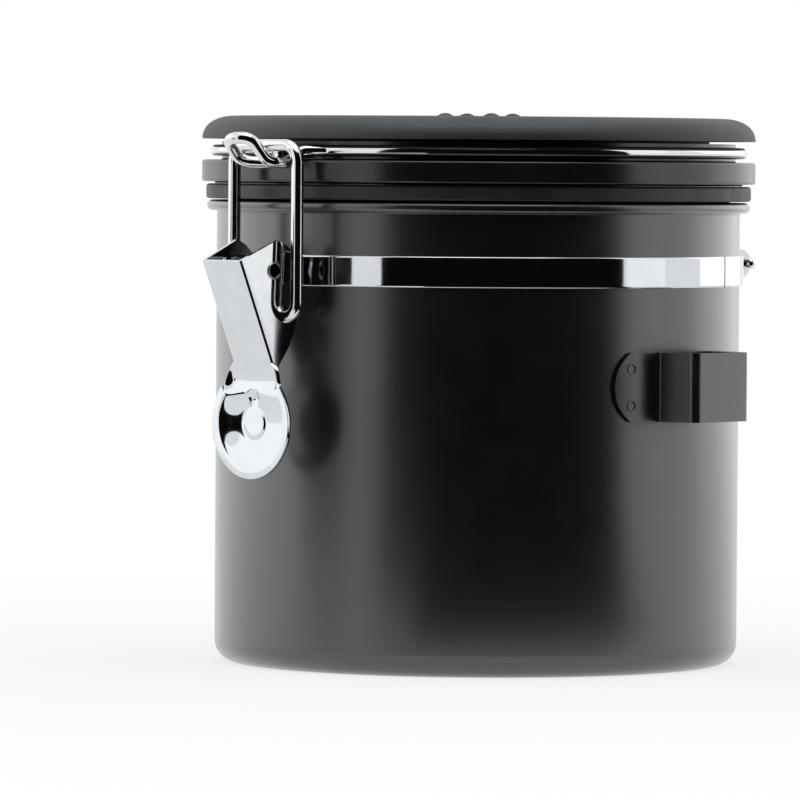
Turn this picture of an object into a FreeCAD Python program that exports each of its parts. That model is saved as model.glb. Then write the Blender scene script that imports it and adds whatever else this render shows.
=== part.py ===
import FreeCAD
import Part
import Sketcher
import math
import os
import re
from FreeCAD import Placement, Rotation, Vector

# Food canister: a black steel can with a clamp band, a moulded lid carried by a hinged wire, and a wire bail
# latch. The origin is the centre of the base, +Z is up, the latch faces -Y and the hinge is at +Y.
# All sizes are in millimetres.

SIZES = [
    ("can_radius", 60.0, "outside of the can's wall"),
    ("can_height", 105.8, "top of the rolled bead above the table"),
    ("can_wall", 0.8, "steel sheet of the can"),
    ("base_round", 5.0, "outer radius of the can's base edge"),
    ("bead_reach", 2.3, "how far the rolled bead stands out of the wall"),
    ("bead_round", 1.2, "half the height of the rolled bead"),
    ("lip_round", 0.7, "inner radius at the mouth"),
    ("band_drop", 15.5, "middle of the clamp band below the mouth"),
    ("band_height", 7.0, "width of the band's strip"),
    ("band_sheet", 0.9, "thickness of the band's strip"),
    ("band_edge", 0.25, "softened edges of the strip"),
    ("band_split", 0.3, "angle between the strip's ends"),
    ("band_seam", 111.5, "direction of the strip's ends from the latch, in degrees"),
    ("seat_gap", 0.05, "space between seated sheets"),
    ("bracket_sheet", 0.8, "thickness of both brackets' plates"),
    ("bracket_inset", 0.4, "bracket plate's edge inside the band's edge"),
    ("latch_plate_half", 12.0, "half the length of the latch bracket's plate"),
    ("ear_sheet", 0.9, "thickness of the brackets' ears"),
    ("ear_gap", 0.3, "side clearance between ears and lever cheeks"),
    ("ear_round", 3.4, "end radius of the latch ears"),
    ("lid_overhang", 3.5, "lid radius beyond the can's wall"),
    ("rim_gap", 0.3, "gasket above the bead"),
    ("gasket_thick", 2.65, "sealing ring's thickness"),
    ("gasket_inset", 1.0, "sealing ring's edge inside the lid's edge"),
    ("gasket_edge", 0.5, "bevel of the sealing ring's outer edges"),
    ("plug_gap", 2.2, "plug inside the can's mouth"),
    ("skirt_depth", 3.0, "plug's skirt below the mouth"),
    ("skirt_draw", 3.0, "skirt's taper towards its lower edge"),
    ("lid_wall", 2.0, "wall and floor of the lid's lower moulding"),
    ("shelf_inset", 3.0, "gasket shelf inside the lid's edge"),
    ("shelf_drop", 1.25, "gasket shelf below the flange"),
    ("flange_height", 5.0, "height of the lid's flange"),
    ("flange_edge", 0.6, "radius of the flange's edges"),
    ("groove_height", 4.2, "groove between flange and cap"),
    ("groove_depth", 4.6, "groove's floor inside the lid's edge"),
    ("cap_height", 5.8, "height of the lid's cap"),
    ("cap_lip", 0.6, "bevel at the cap's lower edge"),
    ("cap_edge_round", 4.6, "tight lower radius of the cap's edge"),
    ("cap_crown", 9.0, "wide upper radius of the cap's edge"),
    ("cap_wall", 2.2, "thickness of the cap's roof"),
    ("spigot_gap", 0.1, "cap's spigot inside the lower moulding"),
    ("spigot_depth", 2.8, "length of the cap's spigot"),
    ("dial_radius", 16.0, "date dial"),
    ("dial_gap", 0.3, "running space round the dial"),
    ("dial_thick", 1.8, "thickness of the dial's disc"),
    ("dial_edge", 0.4, "bevel of the dial's edge"),
    ("dial_hub", 3.0, "dial's hub radius"),
    ("dial_fit", 0.06, "radial running fit of the hub"),
    ("dial_barb", 0.7, "snap barb beyond the hub"),
    ("boss_radius", 22.0, "thickened roof under the dial"),
    ("boss_drop", 2.2, "how far the thickened roof hangs down"),
    ("dial_set", 65.0, "direction the dial is set to, in degrees"),
    ("nub_ring", 8.2, "circle of the dial's four grips"),
    ("nub_radius", 2.3, "one grip"),
    ("nub_rise", 1.1, "height of a grip above the dial"),
    ("stem_radius", 1.5, "stem of the vent flap"),
    ("stem_gap", 0.1, "stem in its hole"),
    ("stem_bulb", 0.9, "retaining bulb beyond the stem"),
    ("flap_radius", 9.0, "vent flap"),
    ("flap_thick", 0.9, "vent flap at its stem"),
    ("flap_edge", 0.4, "vent flap at its edge"),
    ("vent_ring", 5.5, "circle of the vent holes"),
    ("vent_radius", 1.0, "one vent hole"),
    ("wire_radius", 1.3, "lid wire"),
    ("wire_gap", 0.3, "lid wire off the groove's floor"),
    ("hinge_clear", 2.5, "hinge axis behind the lid's edge"),
    ("hinge_rise", 1.2, "hinge axis above the middle of the band"),
    ("hinge_ear_half", 21.0, "outer faces of the hinge ears from the middle"),
    ("hinge_ear_round", 3.3, "end radius of the hinge ears"),
    ("hinge_fit", 0.06, "radial running fit of the wire in its ears"),
    ("leg_half", 16.2, "wire legs from the middle"),
    ("tip_reach", 3.0, "wire ends beyond the hinge ears"),
    ("rear_turn", 22.0, "where the legs leave the ring, in degrees from the back"),
    ("front_turn", 13.0, "where the loop leaves the ring, in degrees from the front"),
    ("leg_bend", 3.4, "bends at the wire's legs"),
    ("loop_drop", 0.8, "loop's lower strands below the flange's top"),
    ("loop_climb", 5.6, "rise of the loop's tip"),
    ("loop_reach", 13.8, "loop's tip beyond the lid's edge"),
    ("loop_knee", 7.5, "where the loop turns up, beyond the lid's edge"),
    ("loop_half", 4.4, "half the loop's width"),
    ("loop_tip_half", 3.6, "half the loop's width at its tip"),
    ("loop_root_half", 1.7, "half the loop's width at its root"),
    ("loop_root_shift", 4.0, "loop's root beside the middle"),
    ("loop_bend", 3.0, "bends in the loop"),
    ("bail_wire_radius", 1.4, "bail wire"),
    ("bail_clear", 3.65, "bail outside the lid's edge"),
    ("bail_half", 10.2, "bail's legs from the middle"),
    ("bail_gap", 1.3, "bail's bar above the loop's lower strands"),
    ("bail_bend", 4.0, "bends at the bail's bar"),
    ("bail_foot_bend", 3.4, "bends at the bail's ends"),
    ("bail_fit", 0.06, "radial running fit of the bail in the cheeks"),
    ("bail_end", 1.0, "bail's ends inside the cheeks"),
    ("over_centre", 3.6, "lever pivot outside the bail's line"),
    ("bail_drop", 10.3, "bail's holes below the lever pivot"),
    ("pin_radius", 2.0, "tubular pivot pin"),
    ("pin_bore", 1.5, "pin's bore"),
    ("pin_proud", 0.7, "pin's ends outside the cheeks"),
    ("pin_edge", 0.3, "rolled edges of the pin"),
    ("pin_fit", 0.06, "radial running fit of the lever on its pin"),
    ("lever_width", 12.6, "across the lever's cheeks"),
    ("lever_sheet", 0.8, "lever's steel sheet"),
    ("web_top_reach", 10.25, "web's upper edge outside the pivot"),
    ("web_top_rise", 2.2, "web's upper edge above the pivot"),
    ("web_low_in", 0.65, "web's lower end inside the pivot"),
    ("web_low_drop", 23.0, "web's lower end below the pivot"),
    ("cheek_peak_in", 0.1, "cheeks' peak inside the pivot"),
    ("cheek_peak_rise", 7.3, "cheeks' peak above the pivot"),
    ("cheek_back", 6.35, "cheeks' upper back corner inside the pivot"),
    ("cheek_back_rise", 3.3, "cheeks' upper back corner above the pivot"),
    ("cheek_heel", 7.45, "cheeks' lower back corner inside the pivot"),
    ("cheek_heel_drop", 8.5, "cheeks' lower back corner below the pivot"),
    ("cheek_toe", 3.95, "cheeks' lower end inside the pivot"),
    ("cheek_toe_drop", 21.8, "cheeks' lower end below the pivot"),
    ("tab_radius", 12.4, "thumb tab"),
    ("tab_overlap", 1.2, "tab's top above the web's lower end"),
    ("tab_dome", 5.6, "radius of the tab's middle dome"),
    ("tab_dome_rise", 1.6, "height of the middle dome"),
    ("tab_valley", 7.6, "radius where the tab's rim starts to rise"),
    ("tab_rim_rise", 1.3, "height of the tab's rim"),
    ("hook_azimuth", 96.0, "hook's direction from the latch, in degrees"),
    ("hook_base", 57.0, "hook's lower edge above the table"),
    ("hook_height", 15.5, "height of the hook's strip"),
    ("hook_sheet", 0.9, "thickness of the hook's strip"),
    ("hook_half", 10.0, "half the width of the hook's raised middle"),
    ("hook_reach", 11.0, "raised middle's outer face beyond the can's wall"),
    ("hook_foot_half", 21.5, "ends of the hook's feet from the middle"),
    ("hook_foot_sag", 4.2, "how far the feet's ends are rounded"),
    ("hook_bend", 2.0, "bends of the hook's strip"),
]

doc = FreeCAD.newDocument("food_canister")
sheet = doc.addObject("Spreadsheet::Sheet", "Sizes")
for row, (alias, size, meaning) in enumerate(SIZES, start=1):
    sheet.set(f"A{row}", meaning)
    sheet.set(f"B{row}", str(size))
    sheet.setAlias(f"B{row}", alias)
doc.recompute()
aliases = {alias for alias, size, meaning in SIZES}

# Levels and radii that follow from the driving sizes
mouth_radius = "(can_radius - can_wall)"
bead_radius = "(can_radius + bead_reach)"
band_middle = "(can_height - band_drop)"
band_inner = "(can_radius + seat_gap)"
band_outer = f"({band_inner} + band_sheet)"
plate_inner = f"({band_outer} + seat_gap)"
plate_outer = f"({plate_inner} + bracket_sheet)"
plate_middle = f"({plate_inner} + bracket_sheet / 2)"
plate_low = f"({band_middle} - band_height / 2 + bracket_inset)"
plate_top = f"({band_middle} + band_height / 2 - bracket_inset)"
lid_radius = "(can_radius + lid_overhang)"
plug_radius = f"({mouth_radius} - plug_gap)"
lid_bore = f"({plug_radius} - lid_wall)"
groove_radius = f"({lid_radius} - groove_depth)"
skirt_low = "(can_height - skirt_depth)"
gasket_low = "(can_height + rim_gap)"
gasket_top = f"({gasket_low} + gasket_thick)"
flange_low = f"({gasket_top} + shelf_drop)"
flange_top = f"({flange_low} + flange_height)"
cap_low = f"({flange_top} + groove_height)"
cap_top = f"({cap_low} + cap_height)"
floor_top = gasket_low
floor_low = f"({floor_top} - lid_wall)"
dial_floor = f"({cap_top} - cap_wall)"
boss_low = f"({dial_floor} - boss_drop)"
dial_low = f"({dial_floor} + dial_gap)"
dial_top = f"({dial_low} + dial_thick)"
wire_ring = f"({groove_radius} + wire_gap + wire_radius)"
wire_level = f"({flange_top} + groove_height / 2)"
hinge_reach = f"({lid_radius} + hinge_clear)"
hinge_level = f"({band_middle} + hinge_rise)"
bail_reach = f"({lid_radius} + bail_clear)"
loop_low = f"({flange_top} - loop_drop)"
bail_level = f"({loop_low} + wire_radius + bail_gap + bail_wire_radius)"
pivot_reach = f"({bail_reach} + over_centre)"
pivot_level = band_middle
hole_level = f"({pivot_level} - bail_drop)"
cheek_inner = "(lever_width / 2 - lever_sheet)"
web_top = f"({pivot_level} + web_top_rise)"
web_low = f"({pivot_level} - web_low_drop)"
tab_level = f"({web_low} + tab_overlap - tab_radius)"
tab_face = f"({pivot_reach} - web_low_in)"


def bind(text):
    """A formula in size names becomes an expression on the sheet's cells."""
    return re.sub(r"[a-z_]+", lambda word: f"Sizes.{word[0]}" if word[0] in aliases else word[0], text)


def number(text):
    return float(sheet.evalExpression(bind(text)))


def new_body(label):
    body = doc.addObject("PartDesign::Body", label)
    body.Label = label
    return body


def origin_item(body, role):
    return next(item for item in body.Origin.OriginFeatures if item.Role == role)


def new_sketch(body, name, plane, height="0"):
    sketch = body.newObject("Sketcher::SketchObject", name)
    sketch.AttachmentSupport = [(origin_item(body, plane), "")]
    sketch.MapMode = "FlatFace"
    sketch.setExpression("AttachmentOffset.Base.z", bind(height))
    return sketch


def place(sketch, piece, end, across, up):
    """Ties one point of a sketch piece to its two formulas."""
    for kind, axis, text in (("DistanceX", -2, across), ("DistanceY", -1, up)):
        size = number(text)
        if abs(size) < 1e-9:
            sketch.addConstraint(Sketcher.Constraint("PointOnObject", piece, end, axis))
        else:
            index = sketch.addConstraint(Sketcher.Constraint(kind, -1, 1, piece, end, size))
            sketch.setExpression(f"Constraints[{index}]", bind(text))


def outline(sketch, corners):
    """Closed outline. A corner is (across, up), or (across, up, radius) where an arc runs on to the next
    corner. The arc turns left, or right if its radius has a minus sign."""
    spots = [Vector(number(corner[0]), number(corner[1]), 0) for corner in corners]
    pieces = []
    for corner, start, end in zip(corners, spots, spots[1:] + spots[:1]):
        if len(corner) == 2:
            pieces.append((sketch.addGeometry(Part.LineSegment(start, end)), 1, 2))
            continue
        right = corner[2].startswith("-")
        radius = corner[2].lstrip("-")
        size = number(radius)
        chord = end - start
        side = Vector(chord.y, -chord.x, 0).normalize() * (-1 if right else 1)
        bulge = size - math.sqrt(size ** 2 - (chord.Length / 2) ** 2)
        middle = (start + end) / 2 + side * bulge
        arc = Part.Arc(end, middle, start) if right else Part.Arc(start, middle, end)
        index = sketch.addGeometry(arc)
        limit = sketch.addConstraint(Sketcher.Constraint("Radius", index, size))
        sketch.setExpression(f"Constraints[{limit}]", bind(radius))
        pieces.append((index, 2, 1) if right else (index, 1, 2))
    for here, after in zip(pieces, pieces[1:] + pieces[:1]):
        sketch.addConstraint(Sketcher.Constraint("Coincident", here[0], here[2], after[0], after[1]))
    for corner, piece in zip(corners, pieces):
        place(sketch, piece[0], piece[1], corner[0], corner[1])


def circle(sketch, across, up, radius):
    centre = Vector(number(across), number(up), 0)
    index = sketch.addGeometry(Part.Circle(centre, Vector(0, 0, 1), number(radius)))
    limit = sketch.addConstraint(Sketcher.Constraint("Radius", index, number(radius)))
    sketch.setExpression(f"Constraints[{limit}]", bind(radius))
    place(sketch, index, 3, across, up)


def revolve(body, name, corners, plane="XZ_Plane", angle="360"):
    """Turned form about the Z axis, centred on the profile's plane when it isn't a full turn."""
    sketch = new_sketch(body, f"{name}_profile", plane)
    outline(sketch, corners)
    turned = body.newObject("PartDesign::Revolution", name)
    turned.Profile = sketch
    turned.ReferenceAxis = (sketch, ["V_Axis"])
    turned.Midplane = True
    turned.setExpression("Angle", bind(angle))
    return turned


def side_pad(body, name, corners, width):
    """Plate with its outline in the YZ plane, centred on X."""
    sketch = new_sketch(body, f"{name}_outline", "YZ_Plane")
    outline(sketch, corners)
    pad = body.newObject("PartDesign::Pad", name)
    pad.Profile = sketch
    pad.SideType = "Symmetric"
    pad.setExpression("Length", bind(width))
    return pad


def side_pocket(body, name, corners, width):
    sketch = new_sketch(body, f"{name}_outline", "YZ_Plane")
    outline(sketch, corners)
    pocket = body.newObject("PartDesign::Pocket", name)
    pocket.Profile = sketch
    pocket.SideType = "Symmetric"
    pocket.setExpression("Length", bind(width))
    return pocket


def cross_hole(body, name, reach, level, radius, width):
    """Round hole along X."""
    sketch = new_sketch(body, f"{name}_circle", "YZ_Plane")
    circle(sketch, reach, level, radius)
    pocket = body.newObject("PartDesign::Pocket", name)
    pocket.Profile = sketch
    pocket.SideType = "Symmetric"
    pocket.setExpression("Length", bind(width))
    return pocket


def face_about_z(body, degrees):
    body.Placement = Placement(Vector(), Rotation(Vector(0, 0, 1), degrees))


def make_can():
    """Drawn shell with a rounded base edge and a solid rolled bead round the mouth."""
    inner_round = "base_round - can_wall"
    bead_centre = "can_height - bead_round"
    body = new_body("can_body")
    revolve(body, "can_shell", [
        ("0", "0"),
        ("can_radius - base_round", "0", "base_round"),
        ("can_radius", "base_round"),
        ("can_radius", "can_height - 2 * bead_round"),
        (f"{bead_radius} - bead_round", "can_height - 2 * bead_round", "bead_round"),
        (bead_radius, bead_centre, "bead_round"),
        (f"{bead_radius} - bead_round", "can_height"),
        (f"{mouth_radius} + lip_round", "can_height", "lip_round"),
        (mouth_radius, "can_height - lip_round"),
        (mouth_radius, "base_round", f"-({inner_round})"),
        ("can_radius - base_round", "can_wall"),
        ("0", "can_wall"),
    ])
    return body


def make_band():
    """Strip round the can, whose ends meet in a fine seam."""
    low = f"{band_middle} - band_height / 2"
    top = f"{band_middle} + band_height / 2"
    body = new_body("clamp_band")
    revolve(body, "band_strip", [
        (band_inner, low),
        (f"{band_outer} - band_edge", low),
        (band_outer, f"{low} + band_edge"),
        (band_outer, f"{top} - band_edge"),
        (f"{band_outer} - band_edge", top),
        (band_inner, top),
    ], angle="360 - band_split")
    face_about_z(body, number("band_seam - 270"))
    return body


def bracket_plate(body, name, half):
    """Curved plate that lies on the band, facing +Y."""
    revolve(body, name, [
        (plate_inner, plate_low),
        (plate_outer, plate_low),
        (plate_outer, plate_top),
        (plate_inner, plate_top),
    ], plane="YZ_Plane", angle=f"2 * asin(({half}) / {plate_outer})")


def ear_outline(root, reach, level, radius):
    return [
        (root, plate_low),
        (reach, f"{level} - {radius}", radius),
        (f"{reach} + {radius}", level, radius),
        (reach, f"{level} + {radius}"),
        (root, plate_top),
    ]


def make_latch_bracket():
    """Two ears on a curved plate, inside the lever's cheeks."""
    outer = f"2 * ({cheek_inner} - ear_gap)"
    inner = f"{outer} - 2 * ear_sheet"
    body = new_body("latch_bracket")
    side_pad(body, "latch_ears", ear_outline(plate_middle, pivot_reach, pivot_level, "ear_round"), outer)
    side_pocket(body, "latch_ear_gap", [
        ("can_radius", "band_drop"),
        (f"{pivot_reach} + 2 * ear_round", "band_drop"),
        (f"{pivot_reach} + 2 * ear_round", cap_top),
        ("can_radius", cap_top),
    ], inner)
    bracket_plate(body, "latch_plate", "latch_plate_half")
    cross_hole(body, "latch_pin_hole", pivot_reach, pivot_level, "pin_radius + pin_fit / 3", outer)
    face_about_z(body, 180)
    return body


def make_pivot_pin():
    """Tubular rivet along X with rolled ends."""
    half = "lever_width / 2 + pin_proud"
    body = new_body("latch_pivot_pin")
    sketch = new_sketch(body, "pin_profile", "XZ_Plane")
    outline(sketch, [
        ("pin_bore", "0"),
        ("pin_radius", "0"),
        ("pin_radius", f"{half} - pin_edge"),
        ("pin_radius - pin_edge", half),
        ("pin_bore", half),
    ])
    turned = body.newObject("PartDesign::Revolution", "pin_half")
    turned.Profile = sketch
    turned.ReferenceAxis = (sketch, ["V_Axis"])
    turned.Angle = 360
    mirror = body.newObject("PartDesign::Mirrored", "pin_whole")
    mirror.Originals = [turned]
    mirror.MirrorPlane = (origin_item(body, "XY_Plane"), [""])
    body.Tip = mirror
    centre = Vector(0, -number(pivot_reach), number(pivot_level))
    body.Placement = Placement(centre, Rotation(Vector(0, 1, 0), 90))
    return body


def make_hinge_bracket():
    """Two ears at the ends of a curved plate, at the back of the band."""
    outer = "2 * hinge_ear_half"
    inner = f"{outer} - 2 * ear_sheet"
    root = f"sqrt({plate_middle} ^ 2 - hinge_ear_half ^ 2)"
    body = new_body("hinge_bracket")
    side_pad(body, "hinge_ears", ear_outline(root, hinge_reach, hinge_level, "hinge_ear_round"), outer)
    side_pocket(body, "hinge_ear_gap", [
        (f"{root} - lid_overhang", "band_drop"),
        (f"{hinge_reach} + 2 * hinge_ear_round", "band_drop"),
        (f"{hinge_reach} + 2 * hinge_ear_round", cap_top),
        (f"{root} - lid_overhang", cap_top),
    ], inner)
    bracket_plate(body, "hinge_plate", "hinge_ear_half")
    cross_hole(body, "hinge_hole", hinge_reach, hinge_level, "wire_radius + hinge_fit", outer)
    return body


def upright_edges(shape, spots):
    """Names of the edges along Z that stand at the given places."""
    names = []
    for index, edge in enumerate(shape.Edges, start=1):
        ends = [vertex.Point for vertex in edge.Vertexes]
        if len(ends) == 2 and (ends[0] - ends[1]).cross(Vector(0, 0, 1)).Length < 1e-6:
            if any(math.hypot(ends[0].x - x, ends[0].y - y) < 1e-4 for x, y in spots):
                names.append(f"Edge{index}")
    return names


def make_hook():
    """Bent strip that holds a spoon's handle: two feet on the can and a raised middle, facing +Y."""
    foot_low = band_inner
    foot_top = f"({band_inner} + hook_sheet)"
    face = "(can_radius + hook_reach)"
    inside = "(hook_half - hook_sheet)"
    body = new_body("scoop_hook")
    sketch = new_sketch(body, "hook_section", "XY_Plane", "hook_base")
    outline(sketch, [
        ("0", face),
        ("0", f"{face} - hook_sheet"),
        (inside, f"{face} - hook_sheet"),
        (inside, f"sqrt({foot_low} ^ 2 - {inside} ^ 2)", f"-{foot_low}"),
        ("hook_foot_half", f"sqrt({foot_low} ^ 2 - hook_foot_half ^ 2)"),
        ("hook_foot_half", f"sqrt({foot_top} ^ 2 - hook_foot_half ^ 2)", foot_top),
        ("hook_half", f"sqrt({foot_top} ^ 2 - hook_half ^ 2)"),
        ("hook_half", face),
    ])
    strip = body.newObject("PartDesign::Pad", "hook_strip")
    strip.Profile = sketch
    strip.setExpression("Length", bind("hook_height"))
    doc.recompute()
    bends = [
        ("hook_half", face, "hook_bend"),
        (inside, f"{face} - hook_sheet", "hook_bend - hook_sheet"),
        ("hook_half", f"sqrt({foot_top} ^ 2 - hook_half ^ 2)", "hook_bend - hook_sheet"),
        (inside, f"sqrt({foot_low} ^ 2 - {inside} ^ 2)", "hook_bend"),
    ]
    for index, (across, out, radius) in enumerate(bends):
        base = body.Tip
        bend = body.newObject("PartDesign::Fillet", f"hook_bend_{index}")
        bend.Base = (base, upright_edges(base.Shape, [(number(across), number(out))]))
        bend.setExpression("Radius", bind(radius))
        doc.recompute()
    trim = new_sketch(body, "hook_foot_end", "XZ_Plane")
    shoulder = "hook_foot_half - hook_foot_sag"
    outline(trim, [
        (shoulder, "hook_base - hook_sheet"),
        ("can_radius", "hook_base - hook_sheet"),
        ("can_radius", "hook_base + hook_height + hook_sheet"),
        (shoulder, "hook_base + hook_height + hook_sheet"),
        (shoulder, "hook_base + hook_height",
         "-((hook_height ^ 2 / 4 + hook_foot_sag ^ 2) / (2 * hook_foot_sag))"),
        (shoulder, "hook_base"),
    ])
    ends = body.newObject("PartDesign::Pocket", "hook_foot_round")
    ends.Profile = trim
    ends.Type = "ThroughAll"
    ends.SideType = "Symmetric"
    doc.recompute()
    whole = body.newObject("PartDesign::Mirrored", "hook_whole")
    whole.TransformMode = "Whole shape"
    whole.MirrorPlane = (origin_item(body, "YZ_Plane"), [""])
    body.Tip = whole
    face_about_z(body, number("hook_azimuth - 180"))
    return body


def make_lid_base():
    """Lower moulding: plug with a floor, gasket shelf, flange and the groove's wall."""
    hole = "stem_radius + stem_gap"
    skirt = f"({plug_radius} - skirt_draw)"
    shelf = f"({lid_radius} - shelf_inset)"
    body = new_body("lid_base")
    revolve(body, "lid_moulding", [
        (hole, floor_low),
        (f"{skirt} - lid_wall", floor_low),
        (f"{skirt} - lid_wall", skirt_low),
        (skirt, skirt_low),
        (plug_radius, gasket_low),
        (plug_radius, gasket_top),
        (shelf, gasket_top),
        (shelf, flange_low),
        (f"{lid_radius} - flange_edge", flange_low, "flange_edge"),
        (lid_radius, f"{flange_low} + flange_edge"),
        (lid_radius, f"{flange_top} - flange_edge", "flange_edge"),
        (f"{lid_radius} - flange_edge", flange_top),
        (groove_radius, flange_top),
        (groove_radius, cap_low),
        (lid_bore, cap_low),
        (lid_bore, floor_top),
        (hole, floor_top),
    ])
    sketch = new_sketch(body, "vent_circle", "XY_Plane", floor_low)
    circle(sketch, "vent_ring", "0", "vent_radius")
    vent = body.newObject("PartDesign::Pocket", "vent_hole")
    vent.Profile = sketch
    vent.Type = "ThroughAll"
    vent.SideType = "Symmetric"
    ring = body.newObject("PartDesign::PolarPattern", "vent_holes")
    ring.Originals = [vent]
    ring.Axis = (origin_item(body, "Z_Axis"), [""])
    ring.Angle = 360
    ring.Occurrences = 6
    body.Tip = ring
    return body


def make_lid_cap():
    """Upper moulding: round-edged roof with a spigot, and a recess for the dial."""
    bore = "(dial_hub + dial_fit)"
    recess = "(dial_radius + dial_gap)"
    spigot = f"({lid_bore} - spigot_gap)"
    edge_level = f"({cap_low} + cap_lip)"
    edge_rise = "(cap_height - cap_lip)"
    centre_step = f"sqrt(({edge_rise} - cap_edge_round) * (2 * cap_crown - cap_edge_round - {edge_rise}))"
    crown_centre = f"({lid_radius} - cap_edge_round - {centre_step})"
    share = "(cap_crown / (cap_crown - cap_edge_round))"
    meet_across = f"{crown_centre} + {share} * {centre_step}"
    meet_up = f"{cap_top} - cap_crown + {share} * (cap_crown - {edge_rise})"
    body = new_body("lid_cap")
    revolve(body, "cap_moulding", [
        (bore, boss_low),
        ("boss_radius", boss_low),
        ("boss_radius", dial_floor),
        (f"{spigot} - lid_wall", dial_floor),
        (f"{spigot} - lid_wall", f"{cap_low} - spigot_depth"),
        (spigot, f"{cap_low} - spigot_depth"),
        (spigot, cap_low),
        (f"{lid_radius} - cap_lip", cap_low),
        (lid_radius, edge_level, "cap_edge_round"),
        (meet_across, meet_up, "cap_crown"),
        (crown_centre, cap_top),
        (recess, cap_top),
        (recess, dial_floor),
        (bore, dial_floor),
    ])
    return body


def make_gasket():
    """Sealing ring on the plug, under the gasket shelf."""
    bore = f"({plug_radius} + seat_gap)"
    edge = f"({lid_radius} - gasket_inset)"
    top = f"({gasket_top} - seat_gap)"
    body = new_body("lid_gasket")
    revolve(body, "gasket_ring", [
        (bore, gasket_low),
        (f"{edge} - gasket_edge", gasket_low),
        (edge, f"{gasket_low} + gasket_edge"),
        (edge, f"{top} - gasket_edge"),
        (f"{edge} - gasket_edge", top),
        (bore, top),
    ])
    return body


def make_flap():
    """Soft vent flap: an umbrella over the vent holes, held by a bulb on its stem."""
    seat = f"({floor_top} + seat_gap)"
    under = f"({floor_low} - seat_gap)"
    bulb = "(stem_radius + stem_bulb)"
    body = new_body("valve_flap")
    revolve(body, "flap_umbrella", [
        ("0", f"{under} - stem_bulb"),
        ("stem_radius", f"{under} - stem_bulb"),
        (bulb, under),
        ("stem_radius", under),
        ("stem_radius", seat),
        ("flap_radius", seat),
        ("flap_radius", f"{seat} + flap_edge"),
        ("stem_radius", f"{seat} + flap_thick"),
        ("0", f"{seat} + flap_thick"),
    ])
    return body


def make_dial():
    """Turning disc with a snap hub below and four round grips on top."""
    barb = "(dial_hub + dial_barb)"
    barb_top = f"({boss_low} - dial_gap)"
    body = new_body("date_dial")
    revolve(body, "dial_disc", [
        ("0", f"{barb_top} - 2 * dial_barb"),
        ("dial_hub - dial_barb", f"{barb_top} - 2 * dial_barb"),
        (barb, barb_top),
        ("dial_hub", barb_top),
        ("dial_hub", dial_low),
        ("dial_radius", dial_low),
        ("dial_radius", f"{dial_top} - dial_edge"),
        ("dial_radius - dial_edge", dial_top),
        ("0", dial_top),
    ])
    sketch = new_sketch(body, "grip_profile", "XZ_Plane")
    axis = Part.LineSegment(Vector(number("nub_ring"), number(dial_low), 0),
                            Vector(number("nub_ring"), number(f"{dial_top} + nub_rise"), 0))
    sketch.addGeometry(axis, True)
    place(sketch, 0, 1, "nub_ring", dial_low)
    place(sketch, 0, 2, "nub_ring", f"{dial_top} + nub_rise")
    outline(sketch, [
        ("nub_ring", dial_low),
        ("nub_ring + nub_radius", dial_low),
        ("nub_ring + nub_radius", dial_top, "(nub_radius ^ 2 + nub_rise ^ 2) / (2 * nub_rise)"),
        ("nub_ring", f"{dial_top} + nub_rise"),
    ])
    grip = body.newObject("PartDesign::Revolution", "grip")
    grip.Profile = sketch
    grip.ReferenceAxis = (sketch, ["Axis0"])
    grip.Angle = 360
    grips = body.newObject("PartDesign::PolarPattern", "grips")
    grips.Originals = [grip]
    grips.Axis = (origin_item(body, "Z_Axis"), [""])
    grips.Angle = 360
    grips.Occurrences = 4
    body.Tip = grips
    face_about_z(body, number("dial_set"))
    return body


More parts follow.
